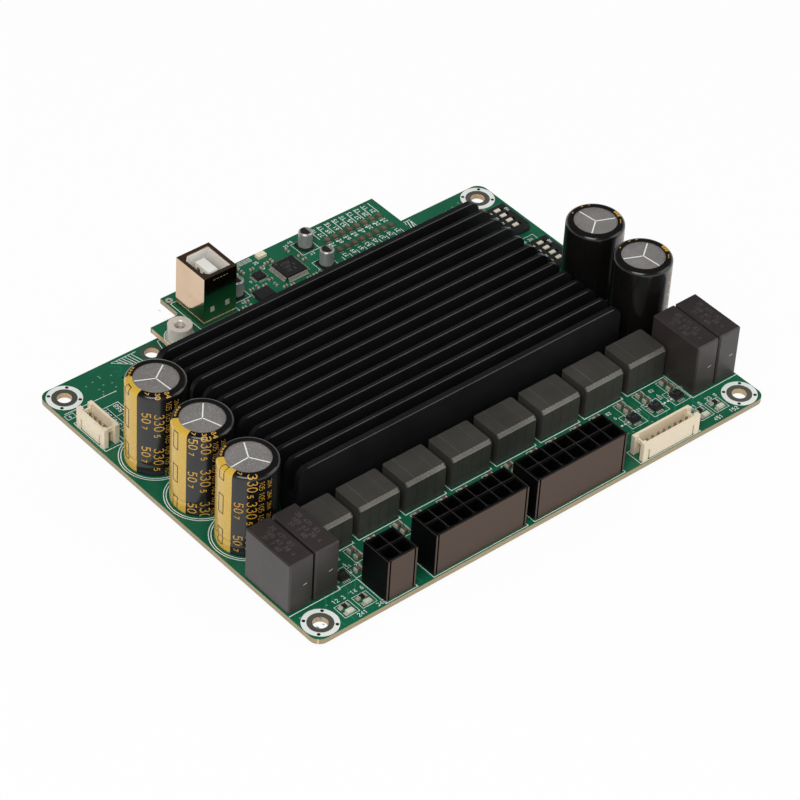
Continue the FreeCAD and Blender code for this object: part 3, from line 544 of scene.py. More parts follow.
@dataclass
class Ink:
    """Printed marks: ribbons and patches drawn in a plane of two lengths and laid on a surface."""

    step: float = 50.0
    parts: list[tuple[np.ndarray, np.ndarray]] = field(default_factory=list)

    def line(self, path: Sequence, width: float, closed: bool = False) -> None:
        """Draw a ribbon along a path.

        The two edges stand half a width to each side, along the mean of the two neighbouring normals,
        longer at a corner by one over the cosine of half the bend.

        Args:
            path: N by 2 points.
            width: width of the ribbon.
            closed: join the last point to the first.
        """
        path = np.asarray(path, float)
        if closed:
            path = np.vstack([path, path[:1]])
        path = resample(path, self.step)
        run = np.diff(path, axis=0)
        run = run / np.maximum(np.linalg.norm(run, axis=1, keepdims=True), 1e-9)
        before = np.vstack([run[-1:] if closed else run[:1], run])
        after = np.vstack([run, run[:1] if closed else run[-1:]])
        normal = before + after
        normal = np.stack([-normal[:, 1], normal[:, 0]], -1)
        normal /= np.maximum(np.linalg.norm(normal, axis=1, keepdims=True), 1e-9)
        square = np.stack([-after[:, 1], after[:, 0]], -1)
        reach = width / 2 / np.maximum(np.sum(normal * square, 1, keepdims=True), 0.6)
        points = np.stack([path - normal * reach, path + normal * reach], 1).reshape(-1, 2)
        i = 2 * np.arange(len(path) - 1)[:, None]
        self.parts.append((points, i + np.array([[0, 2, 3, 1]])))

    def patch(self, x: float, y: float, width: float, height: float) -> None:
        """Fill an upright rectangle about its centre."""
        self.line([(x - width / 2, y), (x + width / 2, y)], height)

    def dashes(self, start: Sequence[float], stop: Sequence[float], pen: float, dash: float,
               gap: float) -> None:
        """Draw a broken straight line between two points, with a dash at its start."""
        first, run = np.array(start, float), np.array(stop, float) - np.array(start, float)
        length = np.linalg.norm(run)
        for low in np.arange(0, length, dash + gap):
            self.line([first + run * low / length, first + run * min(low + dash, length) / length], pen)

    def box(self, x: float, y: float, width: float, height: float, pen: float) -> None:
        """Outline an upright rectangle about its centre."""
        w, h = width / 2, height / 2
        self.line([(x - w, y - h), (x + w, y - h), (x + w, y + h), (x - w, y + h)], pen, True)

    def ring(self, x: float, y: float, radius: float, pen: float, start: float = 0,
             stop: float = 360) -> None:
        """Draw a circle or part of one."""
        steps = max(8, int(abs(stop - start) / 6))
        if stop - start >= 360:
            self.line(arc(x, y, radius, radius, 0, 360, steps + 1)[:-1], pen, True)
        else:
            self.line(arc(x, y, radius, radius, start, stop, steps), pen)

    def digits(self, text: str, x: float, y: float, height: float, pen: float, turn: float = 0.0,
               pitch: float = 0.86) -> None:
        """Write characters from their lower left corner.

        Args:
            text: characters of the stroke font, or spaces.
            x: start along the first length.
            y: start along the second length.
            height: height of a character.
            pen: width of the strokes.
            turn: direction of writing in degrees.
            pitch: step between characters, as a share of the height.
        """
        c, s = math.cos(math.radians(turn)), math.sin(math.radians(turn))
        spin = np.array([[c, s], [-s, c]])
        for place, mark in enumerate(text):
            for stroke in FONT.get(mark, []):
                flat = (stroke + np.array([place * pitch, 0])) * height
                self.line(flat @ spin + np.array([x, y]), pen)

    def lay(self, name: str, place: Place, finish: Finish, slot: str) -> bpy.types.Object:
        """Lay all marks on a surface as one piece.

        Args:
            name: the piece's name.
            place: turns N by 2 lengths into N by 3 places.
            finish: its finish.
            slot: not used.

        Returns:
            The piece.
        """
        points, faces = joined(self.parts)
        return new_piece(name, place(points), faces, finish)


def flat(height: float) -> Place:
    """Lay marks level, face up, at a height."""
    return lambda uv: np.column_stack([uv, np.full(len(uv), height)])


def wall(origin: Sequence[float], along: Sequence[float], up: Sequence[float]) -> Place:
    """Lay marks on a plane through a point, with two directions."""
    o, a, b = (np.array(v, float) for v in (origin, along, up))
    return lambda uv: o + uv[:, :1] * a + uv[:, 1:] * b


# ---- Finishes

WHITE_INK = Finish("white_ink", srgb(238, 242, 238), srgb(224, 230, 224), 0.6, 0.1, grain_depth=0.004)
GOLD_INK = Finish("gold_ink", srgb(214, 166, 66), srgb(196, 146, 52), 0.42, 0.1, grain_depth=0.003)
DARK_INK = Finish("dark_ink", srgb(38, 32, 22), srgb(28, 24, 18), 0.5, 0.1, grain_depth=0.003)
PAD_TIN = Finish("pad_tin", srgb(206, 204, 192), srgb(176, 174, 162), 0.34, 0.15, metallic=0.2,
                 grain_depth=0.01)
RING_GREY = Finish("pad_ring", srgb(104, 102, 94), srgb(84, 82, 76), 0.42, 0.2, metallic=0.3,
                   grain_depth=0.01)
SOLDER = Finish("solder_cap", srgb(214, 208, 194), srgb(186, 178, 164), 0.32, 0.15, metallic=0.25,
                grain_depth=0.01)
TRACK_GREEN = Finish("track_green", srgb(24, 122, 88), srgb(18, 112, 80), 0.34, 0.1, coat=0.2,
                     grain_depth=0.004)
VIA_TIN = Finish("via_tin", srgb(150, 190, 160), srgb(120, 170, 140), 0.4, 0.1, metallic=0.3,
                 grain_depth=0.004)
GREEN = srgb(8, 104, 72)
GREEN_SECOND = srgb(6, 92, 62)
MAIN_GREEN = BoardFinish("main_board_green", GREEN, GREEN_SECOND, 0.4, 0.1, coat=0.12, drift_scale=60.0,
                         grain_depth=0.006, edge=srgb(150, 132, 96), edge_second=srgb(172, 154, 116))
UPPER_GREEN = BoardFinish("upper_board_green", GREEN, GREEN_SECOND, 0.4, 0.1, coat=0.12, drift_scale=60.0,
                          grain_depth=0.006, top=UPPER_TOP, edge=srgb(150, 132, 96),
                          edge_second=srgb(172, 154, 116))
ANODISED = Finish("black_anodised", srgb(25, 25, 27), srgb(19, 19, 21), 0.42, 0.12, specular=0.25,
                  grain_scale=3400.0, grain_depth=0.008, streaks=1.2)
# Painted highlight: a light grey standing in for the light caught on each fin's front top edge.
FIN_HIGHLIGHT = Finish("painted_fin_highlight", srgb(80, 79, 78), srgb(60, 59, 59), 0.35, 0.1, streaks=0.6)
STEEL = Finish("bright_steel", srgb(186, 182, 174), srgb(164, 160, 152), 0.22, 0.1, metallic=0.85,
               grain_depth=0.003)
TIN = Finish("tinned_lead", srgb(176, 174, 168), srgb(146, 144, 140), 0.34, 0.14, metallic=0.85,
             grain_depth=0.01)
CHIP = Finish("chip_black", srgb(34, 34, 35), srgb(26, 26, 27), 0.55, 0.1, speckle=0.25,
              speckle_colour=srgb(70, 70, 70), grain_depth=0.014)
PAD_GREY = Finish("thermal_pad", srgb(120, 122, 126), srgb(104, 106, 110), 0.8, 0.1, grain_depth=0.03)
SLEEVE = SleeveFinish("black_sleeve", srgb(20, 18, 17), srgb(14, 13, 12), 0.22, 0.06, coat=0.25,
                      grain_scale=500.0,
                      grain_depth=0.006, stripe=srgb(208, 170, 66))
CAN = Finish("brushed_can", srgb(134, 130, 127), srgb(118, 114, 111), 0.48, 0.16, metallic=0.15,
             speckle=0.7,
             speckle_scale=5200.0, speckle_colour=srgb(190, 188, 192), grain_depth=0.02)
FILM = Finish("film_case", srgb(52, 45, 43), srgb(44, 38, 37), 0.4, 0.12, specular=0.6, speckle=0.3,
              speckle_scale=5000.0, speckle_colour=srgb(72, 66, 70), grain_scale=1900.0, grain_depth=0.012)
INDUCTOR = Finish("moulded_inductor", srgb(68, 66, 62), srgb(56, 55, 51), 0.42, 0.14, speckle=0.35,
                  speckle_scale=4200.0, speckle_colour=srgb(78, 79, 72), grain_depth=0.016, streaks=0.8)
SEAM = Finish("inductor_seam", srgb(104, 104, 96), srgb(76, 77, 70), 0.5, 0.1, speckle=0.9,
              speckle_scale=2600.0,
              speckle_colour=srgb(30, 30, 28))
DARK_SEAM = Finish("dark_seam", srgb(20, 21, 20), srgb(28, 30, 28), 0.5, 0.1)
# Painted highlight: lighter tones for the light caught by each inductor's front bevel and by the bevel's two
# edges.
BEVEL_HIGHLIGHT = Finish("painted_bevel_highlight", srgb(116, 114, 105), srgb(88, 87, 80), 0.45, 0.1, speckle=0.5,
               speckle_scale=3000.0,
               speckle_colour=srgb(40, 41, 38))
BEVEL_EDGE_HIGHLIGHT = Finish("painted_bevel_edge_highlight", srgb(142, 139, 128), srgb(112, 110, 101), 0.45, 0.1, speckle=0.6,
                    speckle_scale=3000.0, speckle_colour=srgb(70, 70, 64))
CASE_PRINT = Finish("case_print", srgb(104, 95, 99), srgb(86, 78, 82), 0.5, 0.1)
CAN_SIDE = Finish("small_can_metal", srgb(184, 184, 182), srgb(164, 164, 162), 0.34, 0.12, metallic=0.5,
                  grain_depth=0.004)
POST_STEEL = Finish("post_steel", srgb(226, 217, 206), srgb(208, 199, 188), 0.32, 0.1, metallic=0.12,
                    grain_depth=0.004)
HEADER = HousingFinish("black_housing", srgb(8, 7, 8), srgb(6, 5, 6), 0.44, 0.1, specular=0.1,
                       grain_scale=2200.0, grain_depth=0.006)
# Painted highlight: light lines standing in for the light caught by the thin tops of the header cell walls.
HEADER_HIGHLIGHT = Finish("painted_housing_highlight", srgb(76, 70, 66), srgb(56, 51, 48), 0.4, 0.1)
GOLD_PIN = Finish("gilt_pin", srgb(176, 150, 96), srgb(150, 126, 78), 0.3, 0.1, metallic=0.9)
CREAM = Finish("cream_housing", srgb(240, 226, 200), srgb(230, 214, 186), 0.46, 0.12, grain_depth=0.008)
SOCKET_WHITE = Finish("socket_white", srgb(238, 236, 230), srgb(226, 223, 216), 0.4, 0.1,
                      grain_depth=0.008)
SOCKET = Finish("socket_steel", srgb(216, 188, 160), srgb(202, 174, 146), 0.12, 0.05, metallic=1.0,
                grain_scale=500.0, grain_depth=0.001)
SWITCH = Finish("switch_black", srgb(34, 34, 34), srgb(26, 26, 26), 0.5, 0.1, grain_depth=0.012)
SLIDER = Finish("slider_cream", srgb(228, 222, 204), srgb(212, 204, 184), 0.4, 0.1, grain_depth=0.008)
BROWN = Finish("ceramic_brown", srgb(116, 101, 86), srgb(94, 81, 68), 0.45, 0.12, grain_depth=0.01)
LED = Finish("led_lens", srgb(226, 226, 208), srgb(196, 200, 178), 0.2, 0.1, coat=0.4,
             grain_depth=0.006)


@dataclass
class Shelf:
    """Materials already built, by finish."""

    built: dict[str, bpy.types.Material] = field(default_factory=dict)

    def get(self, finish: Finish) -> bpy.types.Material:
        """Return a finish's material, building it the first time."""
        if finish.name not in self.built:
            self.built[finish.name] = finish.build()
        return self.built[finish.name]


SHELF = Shelf()


# ---- Boards

@dataclass
class MainBoard:
    """The green main board: its mask, pads, tracks and white printing."""

    hole_spacing: tuple[float, float] = (142.2, 104.6)
    capacitor_rings: tuple[float, float] = (8.75, 9.4)
    left_capacitors: tuple[float, float, float] = (20.3, 1.4, -16.9)
    right_capacitors: tuple[float, float] = (1.7, -16.9)
    spare_hole: tuple[float, float] = (-42.0, 53.3)

    def corner_marks(self) -> None:
        """Lay a tinned pad, a white ring and four dots round each corner hole."""
        pad, ring, dots = Ink(), Ink(), Ink()
        for sx in (-0.5, 0.5):
            for sy in (-0.5, 0.5):
                x, y = sx * self.hole_spacing[0], sy * self.hole_spacing[1]
                pad.ring(x, y, 2.76, 1.34)
                ring.ring(x, y, 4.14, 1.4)
                for turn in np.radians((45, 135, 225, 315)):
                    dots.ring(x + 4.14 * math.cos(turn), y + 4.14 * math.sin(turn), 0.24, 0.46)
        pad.ring(self.spare_hole[0], self.spare_hole[1], 2.6, 0.9)
        pad.lay("corner_pads", flat(BOARD_TOP + INK_LIFT), RING_GREY, "lead_tin")
        ring.lay("corner_rings", flat(BOARD_TOP + INK_LIFT), WHITE_INK, "header_white")
        dots.lay("corner_dots", flat(BOARD_TOP + 2 * INK_LIFT), DARK_INK, "chip_black")

    def outlines(self) -> None:
        """Print the outlines round the capacitors, inductors, headers and switches."""
        ink = Ink()
        for y in self.left_capacitors:
            for radius in self.capacitor_rings:
                ink.ring(-66.0, y, radius, 0.24)
        for y in self.right_capacitors:
            for radius in self.capacitor_rings:
                ink.ring(66.4, y, radius, 0.24)
        for x in INDUCTORS_X:
            ink.line([(x - 6.8, -25.0), (x - 6.8, -35.4), (x + 6.8, -35.4), (x + 6.8, -25.0)], 0.24)
        ink.line([(-76.0, -46.2), (-59.8, -46.2), (-59.8, -27.8)], 0.22)
        ink.line([(76.0, -46.2), (60.1, -46.2), (60.1, -27.8)], 0.22)
        for x, ways in ((-49.05, 2), (-23.1, 7), (10.3, 7)):
            ink.box(x, -51.2, ways * 4.2 + 1.8, 11.4, 0.2)
        ink.box(41.85, -54.3, 21.2, 5.4, 0.2)
        ink.box(-72.4, 35.9, 5.4, 13.6, 0.2)
        for y in SWITCHES_Y:
            ink.dashes((65.5, y - 6.2), (65.5, y + 6.2), 0.2, 0.5, 0.4)
        ink.box(69.8, 29.6, 5.6, 2.9, 0.16)
        ink.lay("board_outlines", flat(BOARD_TOP + INK_LIFT), WHITE_INK, "header_white")

    def labels(self) -> None:
        """Print the numbers beside the parts, the table by the left header and the hatched marks."""
        ink = Ink()
        for index, x in enumerate(INDUCTORS_X):
            for dx, y in ((-5.6, -42.4), (1.8, -42.4)):
                ink.digits(str((index * 7 + 12) % 90 + 10), x + dx, y, 0.95, 0.16)
        for x, text in ((-64.4, "12 3"), (-58.6, "14 6"), (56.6, "21 8"), (62.2, "23 9")):
            ink.digits(text, x, -49.4, 1.15, 0.2)
        for x, text in ((-62.2, "241"), (-56.2, "342"), (58.6, "451"), (64.2, "152")):
            ink.digits(text, x, -56.5, 1.15, 0.2)
        for x, y in LIGHTS:
            ink.box(x, y + 1.15, 4.5, 4.5, 0.14)
        ink.box(-64.8, 36.2, 7.6, 13.2, 0.2)
        ink.line([(-64.8, 29.6), (-64.8, 42.8)], 0.16)
        for column in range(3):
            low = 29.6 + 4.4 * column
            ink.line([(-68.6, low), (-61.0, low)], 0.16)
            for row, x in enumerate((-65.5, -61.7)):
                ink.digits(str(247 + 131 * column + 59 * row), x, low + 0.8, 1.3, 0.22, 90)
        ink.box(-74.2, 45.4, 2.6, 1.8, 0.14)
        ink.digits("6", -74.6, 45.0, 0.9, 0.15)
        ink.line([(-75.0, 46.9), (-58.7, 46.5)], 0.22)
        ink.digits("1 2 3 4", -51.4, -45.4, 1.1, 0.18)
        ink.digits("10 24", 67.4, 29.1, 0.95, 0.16)
        for x in INDUCTORS_X:
            for dx in (-4.3, 4.3):
                ink.box(x + dx, -38.7, 3.3, 5.2, 0.14)
            ink.digits("82", x - 1.0, -38.0, 0.95, 0.16)
            ink.digits("6", x - 0.4, -40.4, 0.95, 0.16)
            ink.dashes((x - 2.2, -43.2), (x + 2.4, -43.2), 0.5, 0.7, 0.5)
        for x in DRIVERS_X:
            ink.box(x, DRIVER_Y, 5.4, 5.4, 0.14)
            ink.digits("31", x + 3.1, -41.6, 0.95, 0.16)
        for x, y in ((56.2, 33.0), (57.6, 27.6), (60.2, 24.4), (57.4, 40.4)):
            ink.digits("18", x, y, 0.95, 0.16)
        ink.line([(-45.2, 56.2), (-53.2, 56.2), (-46.4, 50.6)], 0.24)
        for low in np.arange(-51.8, -46.0, 1.0):
            ink.line([(low, 56.2), (low + 1.3, max(50.6, 54.93 - (low + 53.2) * 0.82))], 0.22)
        ink.line([(-39.0, 52.0), (-38.0, 56.2), (-33.6, 56.2)], 0.24)
        for low in np.arange(-37.2, -33.8, 1.0):
            ink.line([(low, 56.2), (low + 0.9, 52.6)], 0.22)
        for low in np.arange(44.2, 48.2, 0.9):
            ink.line([(low, 50.6), (low + 1.6, 56.0)], 0.3)
        ink.box(46.6, 53.3, 5.6, 5.9, 0.2)
        ink.lay("board_labels", flat(BOARD_TOP + INK_LIFT), WHITE_INK, "header_white")

    def tracks(self) -> None:
        """Lay the faint raised tracks and the via dots that show through the mask."""
        ink, via = Ink(), Ink()
        for k in range(9):
            y = 24.0 + 2.2 * k
            ink.line([(-75.0 + k * 0.3, 29.0 + k), (-70.0 + k, 29.0 + k), (-60 + k, y + 12),
                      (-54.5, y + 14)], 0.35)
        for k in range(1, 12):
            x = -70.0 + 3.1 * k
            ink.line([(x, -56.6), (x, -50 + k % 3), (x + 2.4, -47.4 + k % 3), (x + 2.4, -42.0)], 0.4)
            ink.line([(x + 98, -50.2), (x + 98, -47.0), (x + 100.2, -44.6), (x + 100.2, -38.4)], 0.4)
        for k in range(10):
            y = -8.0 + 5.8 * k
            ink.line([(56.6, y), (60.0, y + 2.6), (74.6, y + 2.6)], 0.35)
        ink.lay("board_tracks", flat(BOARD_TOP + 0.012), TRACK_GREEN, "board_green")
        seed = np.random.default_rng(7)
        for x, y, wide, deep, count in ((-60, 50, 8, 8, 12), (-57, 26, 5, 24, 14), (0, -44, 108, 6, 90),
                                        (64, 50, 20, 9, 30), (58, 20, 5, 40, 26), (-66, -51, 18, 6, 20)):
            spots = seed.random((count, 2)) * (wide, deep) + (x - wide / 2, y - deep / 2)
            for px, py in spots:
                via.ring(px, py, 0.16, 0.2)
        via.lay("board_vias", flat(BOARD_TOP + 0.02), VIA_TIN, "lead_tin")

    def build(self) -> None:
        """Dress the board and lay everything on it."""
        dress(MAIN_GREEN, "main_board")
        self.corner_marks()
        self.outlines()
        self.labels()
        self.tracks()


@dataclass
class RaisedBoard:
    """The raised board: its printing, pads and the small parts soldered on it."""

    chip_x: np.ndarray = field(default_factory=lambda: 39.6 - 2.6 * np.arange(8))
    chip_rows: tuple[float, float] = (58.1, 52.8)
    processor: tuple[float, float, float] = (5.2, 54.5, 7.0)

    def printing(self) -> None:
        """Print the column lines at the back, the numbers and the outlines."""
        ink = Ink()
        for x in np.append(self.chip_x - 1.3, self.chip_x[0] + 1.3):
            ink.line([(x, 59.6), (x, 64.4)], 0.2)
            ink.line([(x, 50.4), (x, 47.0)], 0.18)
        for index, x in enumerate(self.chip_x):
            for y in (60.2, 55.0, 49.6):
                ink.digits(str(index * 8 + 21), x + 0.75, y, 1.1, 0.2, 90)
            for y in (62.6, 47.0):
                ink.digits(str(index + 11), x + 0.1, y, 1.1, 0.2, 90)
            ink.dashes((x - 0.9, 56.4), (x + 0.9, 56.4), 0.5, 0.5, 0.3)
        x, y, side = self.processor
        ink.ring(x - 5.2, y + 4.6, 0.3, 0.3)
        for px, py in CAN_SPOTS:
            ink.box(px, py, 5.6, 5.6, 0.16)
            ink.digits("47", px - 1.0, py - 4.2, 0.95, 0.15)
        ink.box(-22.75, 55.0, 13.0, 14.0, 0.2)
        for px, py, text in ((-1.0, 61.6, "25"), (-6.0, 62.4, "7"), (10.0, 62.4, "33"), (-4.4, 46.6, "16"),
                             (-13.0, 60.4, "19"), (-33.6, 61.0, "3"), (-34.6, 57.0, "11"),
                             (-38.9, 46.6, "12"), (-9.4, 58.6, "24"), (-6.6, 56.0, "9"), (12.0, 63.2, "46"),
                             (8.6, 45.6, "7"), (16.6, 62.8, "5"), (-32.4, 45.4, "38")):
            ink.digits(text, px, py, 0.95, 0.15)
        for px in np.arange(-7.0, 0.4, 1.5):
            ink.box(px, 64.2, 1.0, 1.3, 0.14)
        ink.ring(*POST, 4.1, 0.2)
        ink.ring(*NOTCH, 4.2, 0.2)
        ink.lay("raised_board_printing", flat(UPPER_TOP + INK_LIFT), WHITE_INK, "header_white")

    def tracks(self) -> None:
        """Lay the faint raised tracks of this board."""
        ink = Ink()
        for x in self.chip_x:
            ink.line([(x, 52.0), (x, 48.0), (x - 3.0, 45.0), (x - 3.0, 41.0)], 0.3)
            ink.line([(x, 57.2), (x, 54.0)], 0.3)
        for k in range(8):
            near, far = 51.6 + k * 0.8, 49.0 + k * 1.1
            ink.line([(9.8, near), (12.6, near), (17.0, far), (20.0, far)], 0.26)
            ink.line([(0.4, near), (-2.4, 50.6 + k * 0.8), (-9.6, 46.8 + k), (-15.0, 46.8 + k)], 0.26)
        ink.lay("raised_board_tracks", flat(UPPER_TOP + 0.012), TRACK_GREEN, "board_green")

    def processor_leads(self) -> None:
        """Bend the thin leads out of the processor's four sides: out, down and out again."""
        x, y, side = self.processor
        count, width, pitch, sheet = 16, 0.22, 0.42, 0.09
        path = np.array([(0.0, 0.75), (0.35, 0.75), (0.6, 0.12), (1.1, 0.1)])
        section = np.vstack([path + (0.0, sheet), path[::-1]])
        place = (np.arange(count) - (count - 1) / 2) * pitch
        lots = []
        for quarter in range(4):
            c, s = math.cos(quarter * math.pi / 2), math.sin(quarter * math.pi / 2)
            out = np.array([c, s, 0.0])
            across = np.array([-s, c, 0.0])
            for p in place:
                run = out * (side / 2 + section[:, :1])
                rise = np.array([0, 0, 1.0]) * section[:, 1:]
                rows = [run + across * (p + edge) + rise for edge in (-width / 2, width / 2)]
                points = np.vstack(rows) + np.array([x, y, UPPER_TOP])
                ring = len(section)
                i = np.arange(ring)
                j = (i + 1) % ring
                faces = np.stack([i, i + ring, j + ring, j], -1)
                half = ring // 2
                cap = np.array([(k, k + 1, ring - 2 - k, ring - 1 - k) for k in range(half - 1)])
                lots.append((points, np.vstack([faces[:, ::-1], cap[:, ::-1], cap + ring])))
        points, faces = joined(lots)
        new_piece("processor_leads", points, faces, SOLDER)

    def small_parts(self) -> None:
        """Set the chip resistors and capacitors that stand round the larger chips."""
        spots = np.array([
            (-10.2, 57.6), (-10.2, 55.6), (-8.4, 53.6), (-6.4, 53.6), (-4.4, 53.0), (-12.6, 50.4),
            (-12.6, 48.2), (-0.2, 59.4), (1.8, 60.2), (3.6, 60.2), (-0.2, 49.4), (1.8, 48.8), (9.8, 61.0),
            (11.2, 57.4), (11.2, 55.4), (11.4, 48.6), (9.4, 48.6), (7.2, 48.4), (-5.8, 60.8), (-8.0, 60.8),
            (-1.6, 54.0), (17.8, 56.0), (17.8, 53.8), (-28.6, 47.4), (-31.0, 47.4), (-12.4, 60.2),
            (-10.6, 62.2), (-5.8, 63.0), (-3.0, 60.4), (-14.6, 48.8), (-1.8, 51.6), (-6.8, 51.4),
            (-9.2, 51.0)])
        turned_way = (np.arange(len(spots)) % 3 == 0)[:, None]
        body = np.where(turned_way, (0.66, 0.62, 0.5), (0.62, 0.66, 0.5))
        base = np.column_stack([spots, np.full(len(spots), UPPER_TOP)])
        points, faces = blocks(base, body)
        new_piece("raised_board_chip_bodies", points, faces, BROWN)
        step = np.where(turned_way, (0.0, 0.48), (0.48, 0.0))
        step = np.column_stack([step, np.zeros(len(spots))])
        end = np.where(turned_way, (0.7, 0.36, 0.54), (0.36, 0.7, 0.54))
        points, faces = blocks(np.vstack([base - step, base + step]), np.vstack([end, end]))
        new_piece("raised_board_chip_ends", points, faces, SOLDER)
        points, faces = blocks([(2.6, 63.6, UPPER_TOP)], (2.8, 1.8, 0.9))
        new_piece("oscillator", points, faces, CREAM)

    def pads(self) -> None:
        """Lay the solder pads round the chips."""
        ink = Ink()
        for cx, cy, side, count in ((-3.2, 57.0, 3.0, 5), (-7.3, 49.6, 5.0, 4)):
            place = (np.arange(count) - (count - 1) / 2) * (side - 0.9) / (count - 1) * 1.1
            for p in place:
                ink.patch(cx + p, cy - 1.9 if side < 4 else cy - 2.5, 0.3, 0.8)
                ink.patch(cx + p, cy + 1.9 if side < 4 else cy + 2.5, 0.3, 0.8)
                if side < 4:
                    ink.patch(cx - 1.9, cy + p, 0.8, 0.3)
                    ink.patch(cx + 1.9, cy + p, 0.8, 0.3)
        for x in self.chip_x:
            for y in self.chip_rows:
                for end in (-0.75, 0.75):
                    ink.patch(x, y + end, 1.3, 0.42)
        for px in np.arange(-7.0, 0.4, 1.5):
            ink.patch(px, 64.2, 0.5, 0.8)
        ink.ring(*POST, 3.6, 0.45)
        ink.ring(*NOTCH, 3.4, 1.0)
        ink.ring(-28.6, 63.4, 0.7, 0.7)
        ink.lay("raised_board_pads", flat(UPPER_TOP + 0.02), PAD_TIN, "lead_tin")

    def build(self) -> None:
        """Dress the board and everything on it."""
        dress(UPPER_GREEN, "upper_board")
        dress(CHIP, "processor_chip", "upper_board_chips", "small_capacitor_bases")
        dress(BROWN, "upper_chip_capacitors")
        dress(CAN_SIDE, "small_capacitor_cans")
        dress(POST_STEEL, "round_spacer", "link_spacer")
        dress(STEEL, "link_screw")
        dress(HEADER, "link_socket", "link_plug")
        self.printing()
        self.tracks()
        self.processor_leads()
        self.small_parts()
        self.pads()
        tops = Ink()
        for x, y in CAN_SPOTS:
            for chord in np.arange(-1.44, 0.6, 0.24):
                reach = math.sqrt(1.5 ** 2 - chord ** 2)
                tops.line([(x + chord, y - reach), (x + chord, y + reach)], 0.25)
        x, y, _ = self.processor
        case = Ink()
        for row, text in enumerate(("4732", "105 9", "18 6")):
            case.digits(text, x - 1.9, y + 1.0 - 1.5 * row, 0.9, 0.16)
        case.ring(x - 2.6, y + 2.6, 0.25, 0.2)
        case.lay("processor_marks", flat(PROCESSOR_TOP + INK_LIFT), CASE_PRINT, "chip_black")
        tops.lay("small_can_marks", flat(SMALL_CAN_TOP + INK_LIFT), DARK_INK, "chip_black")


# ---- Capacitors

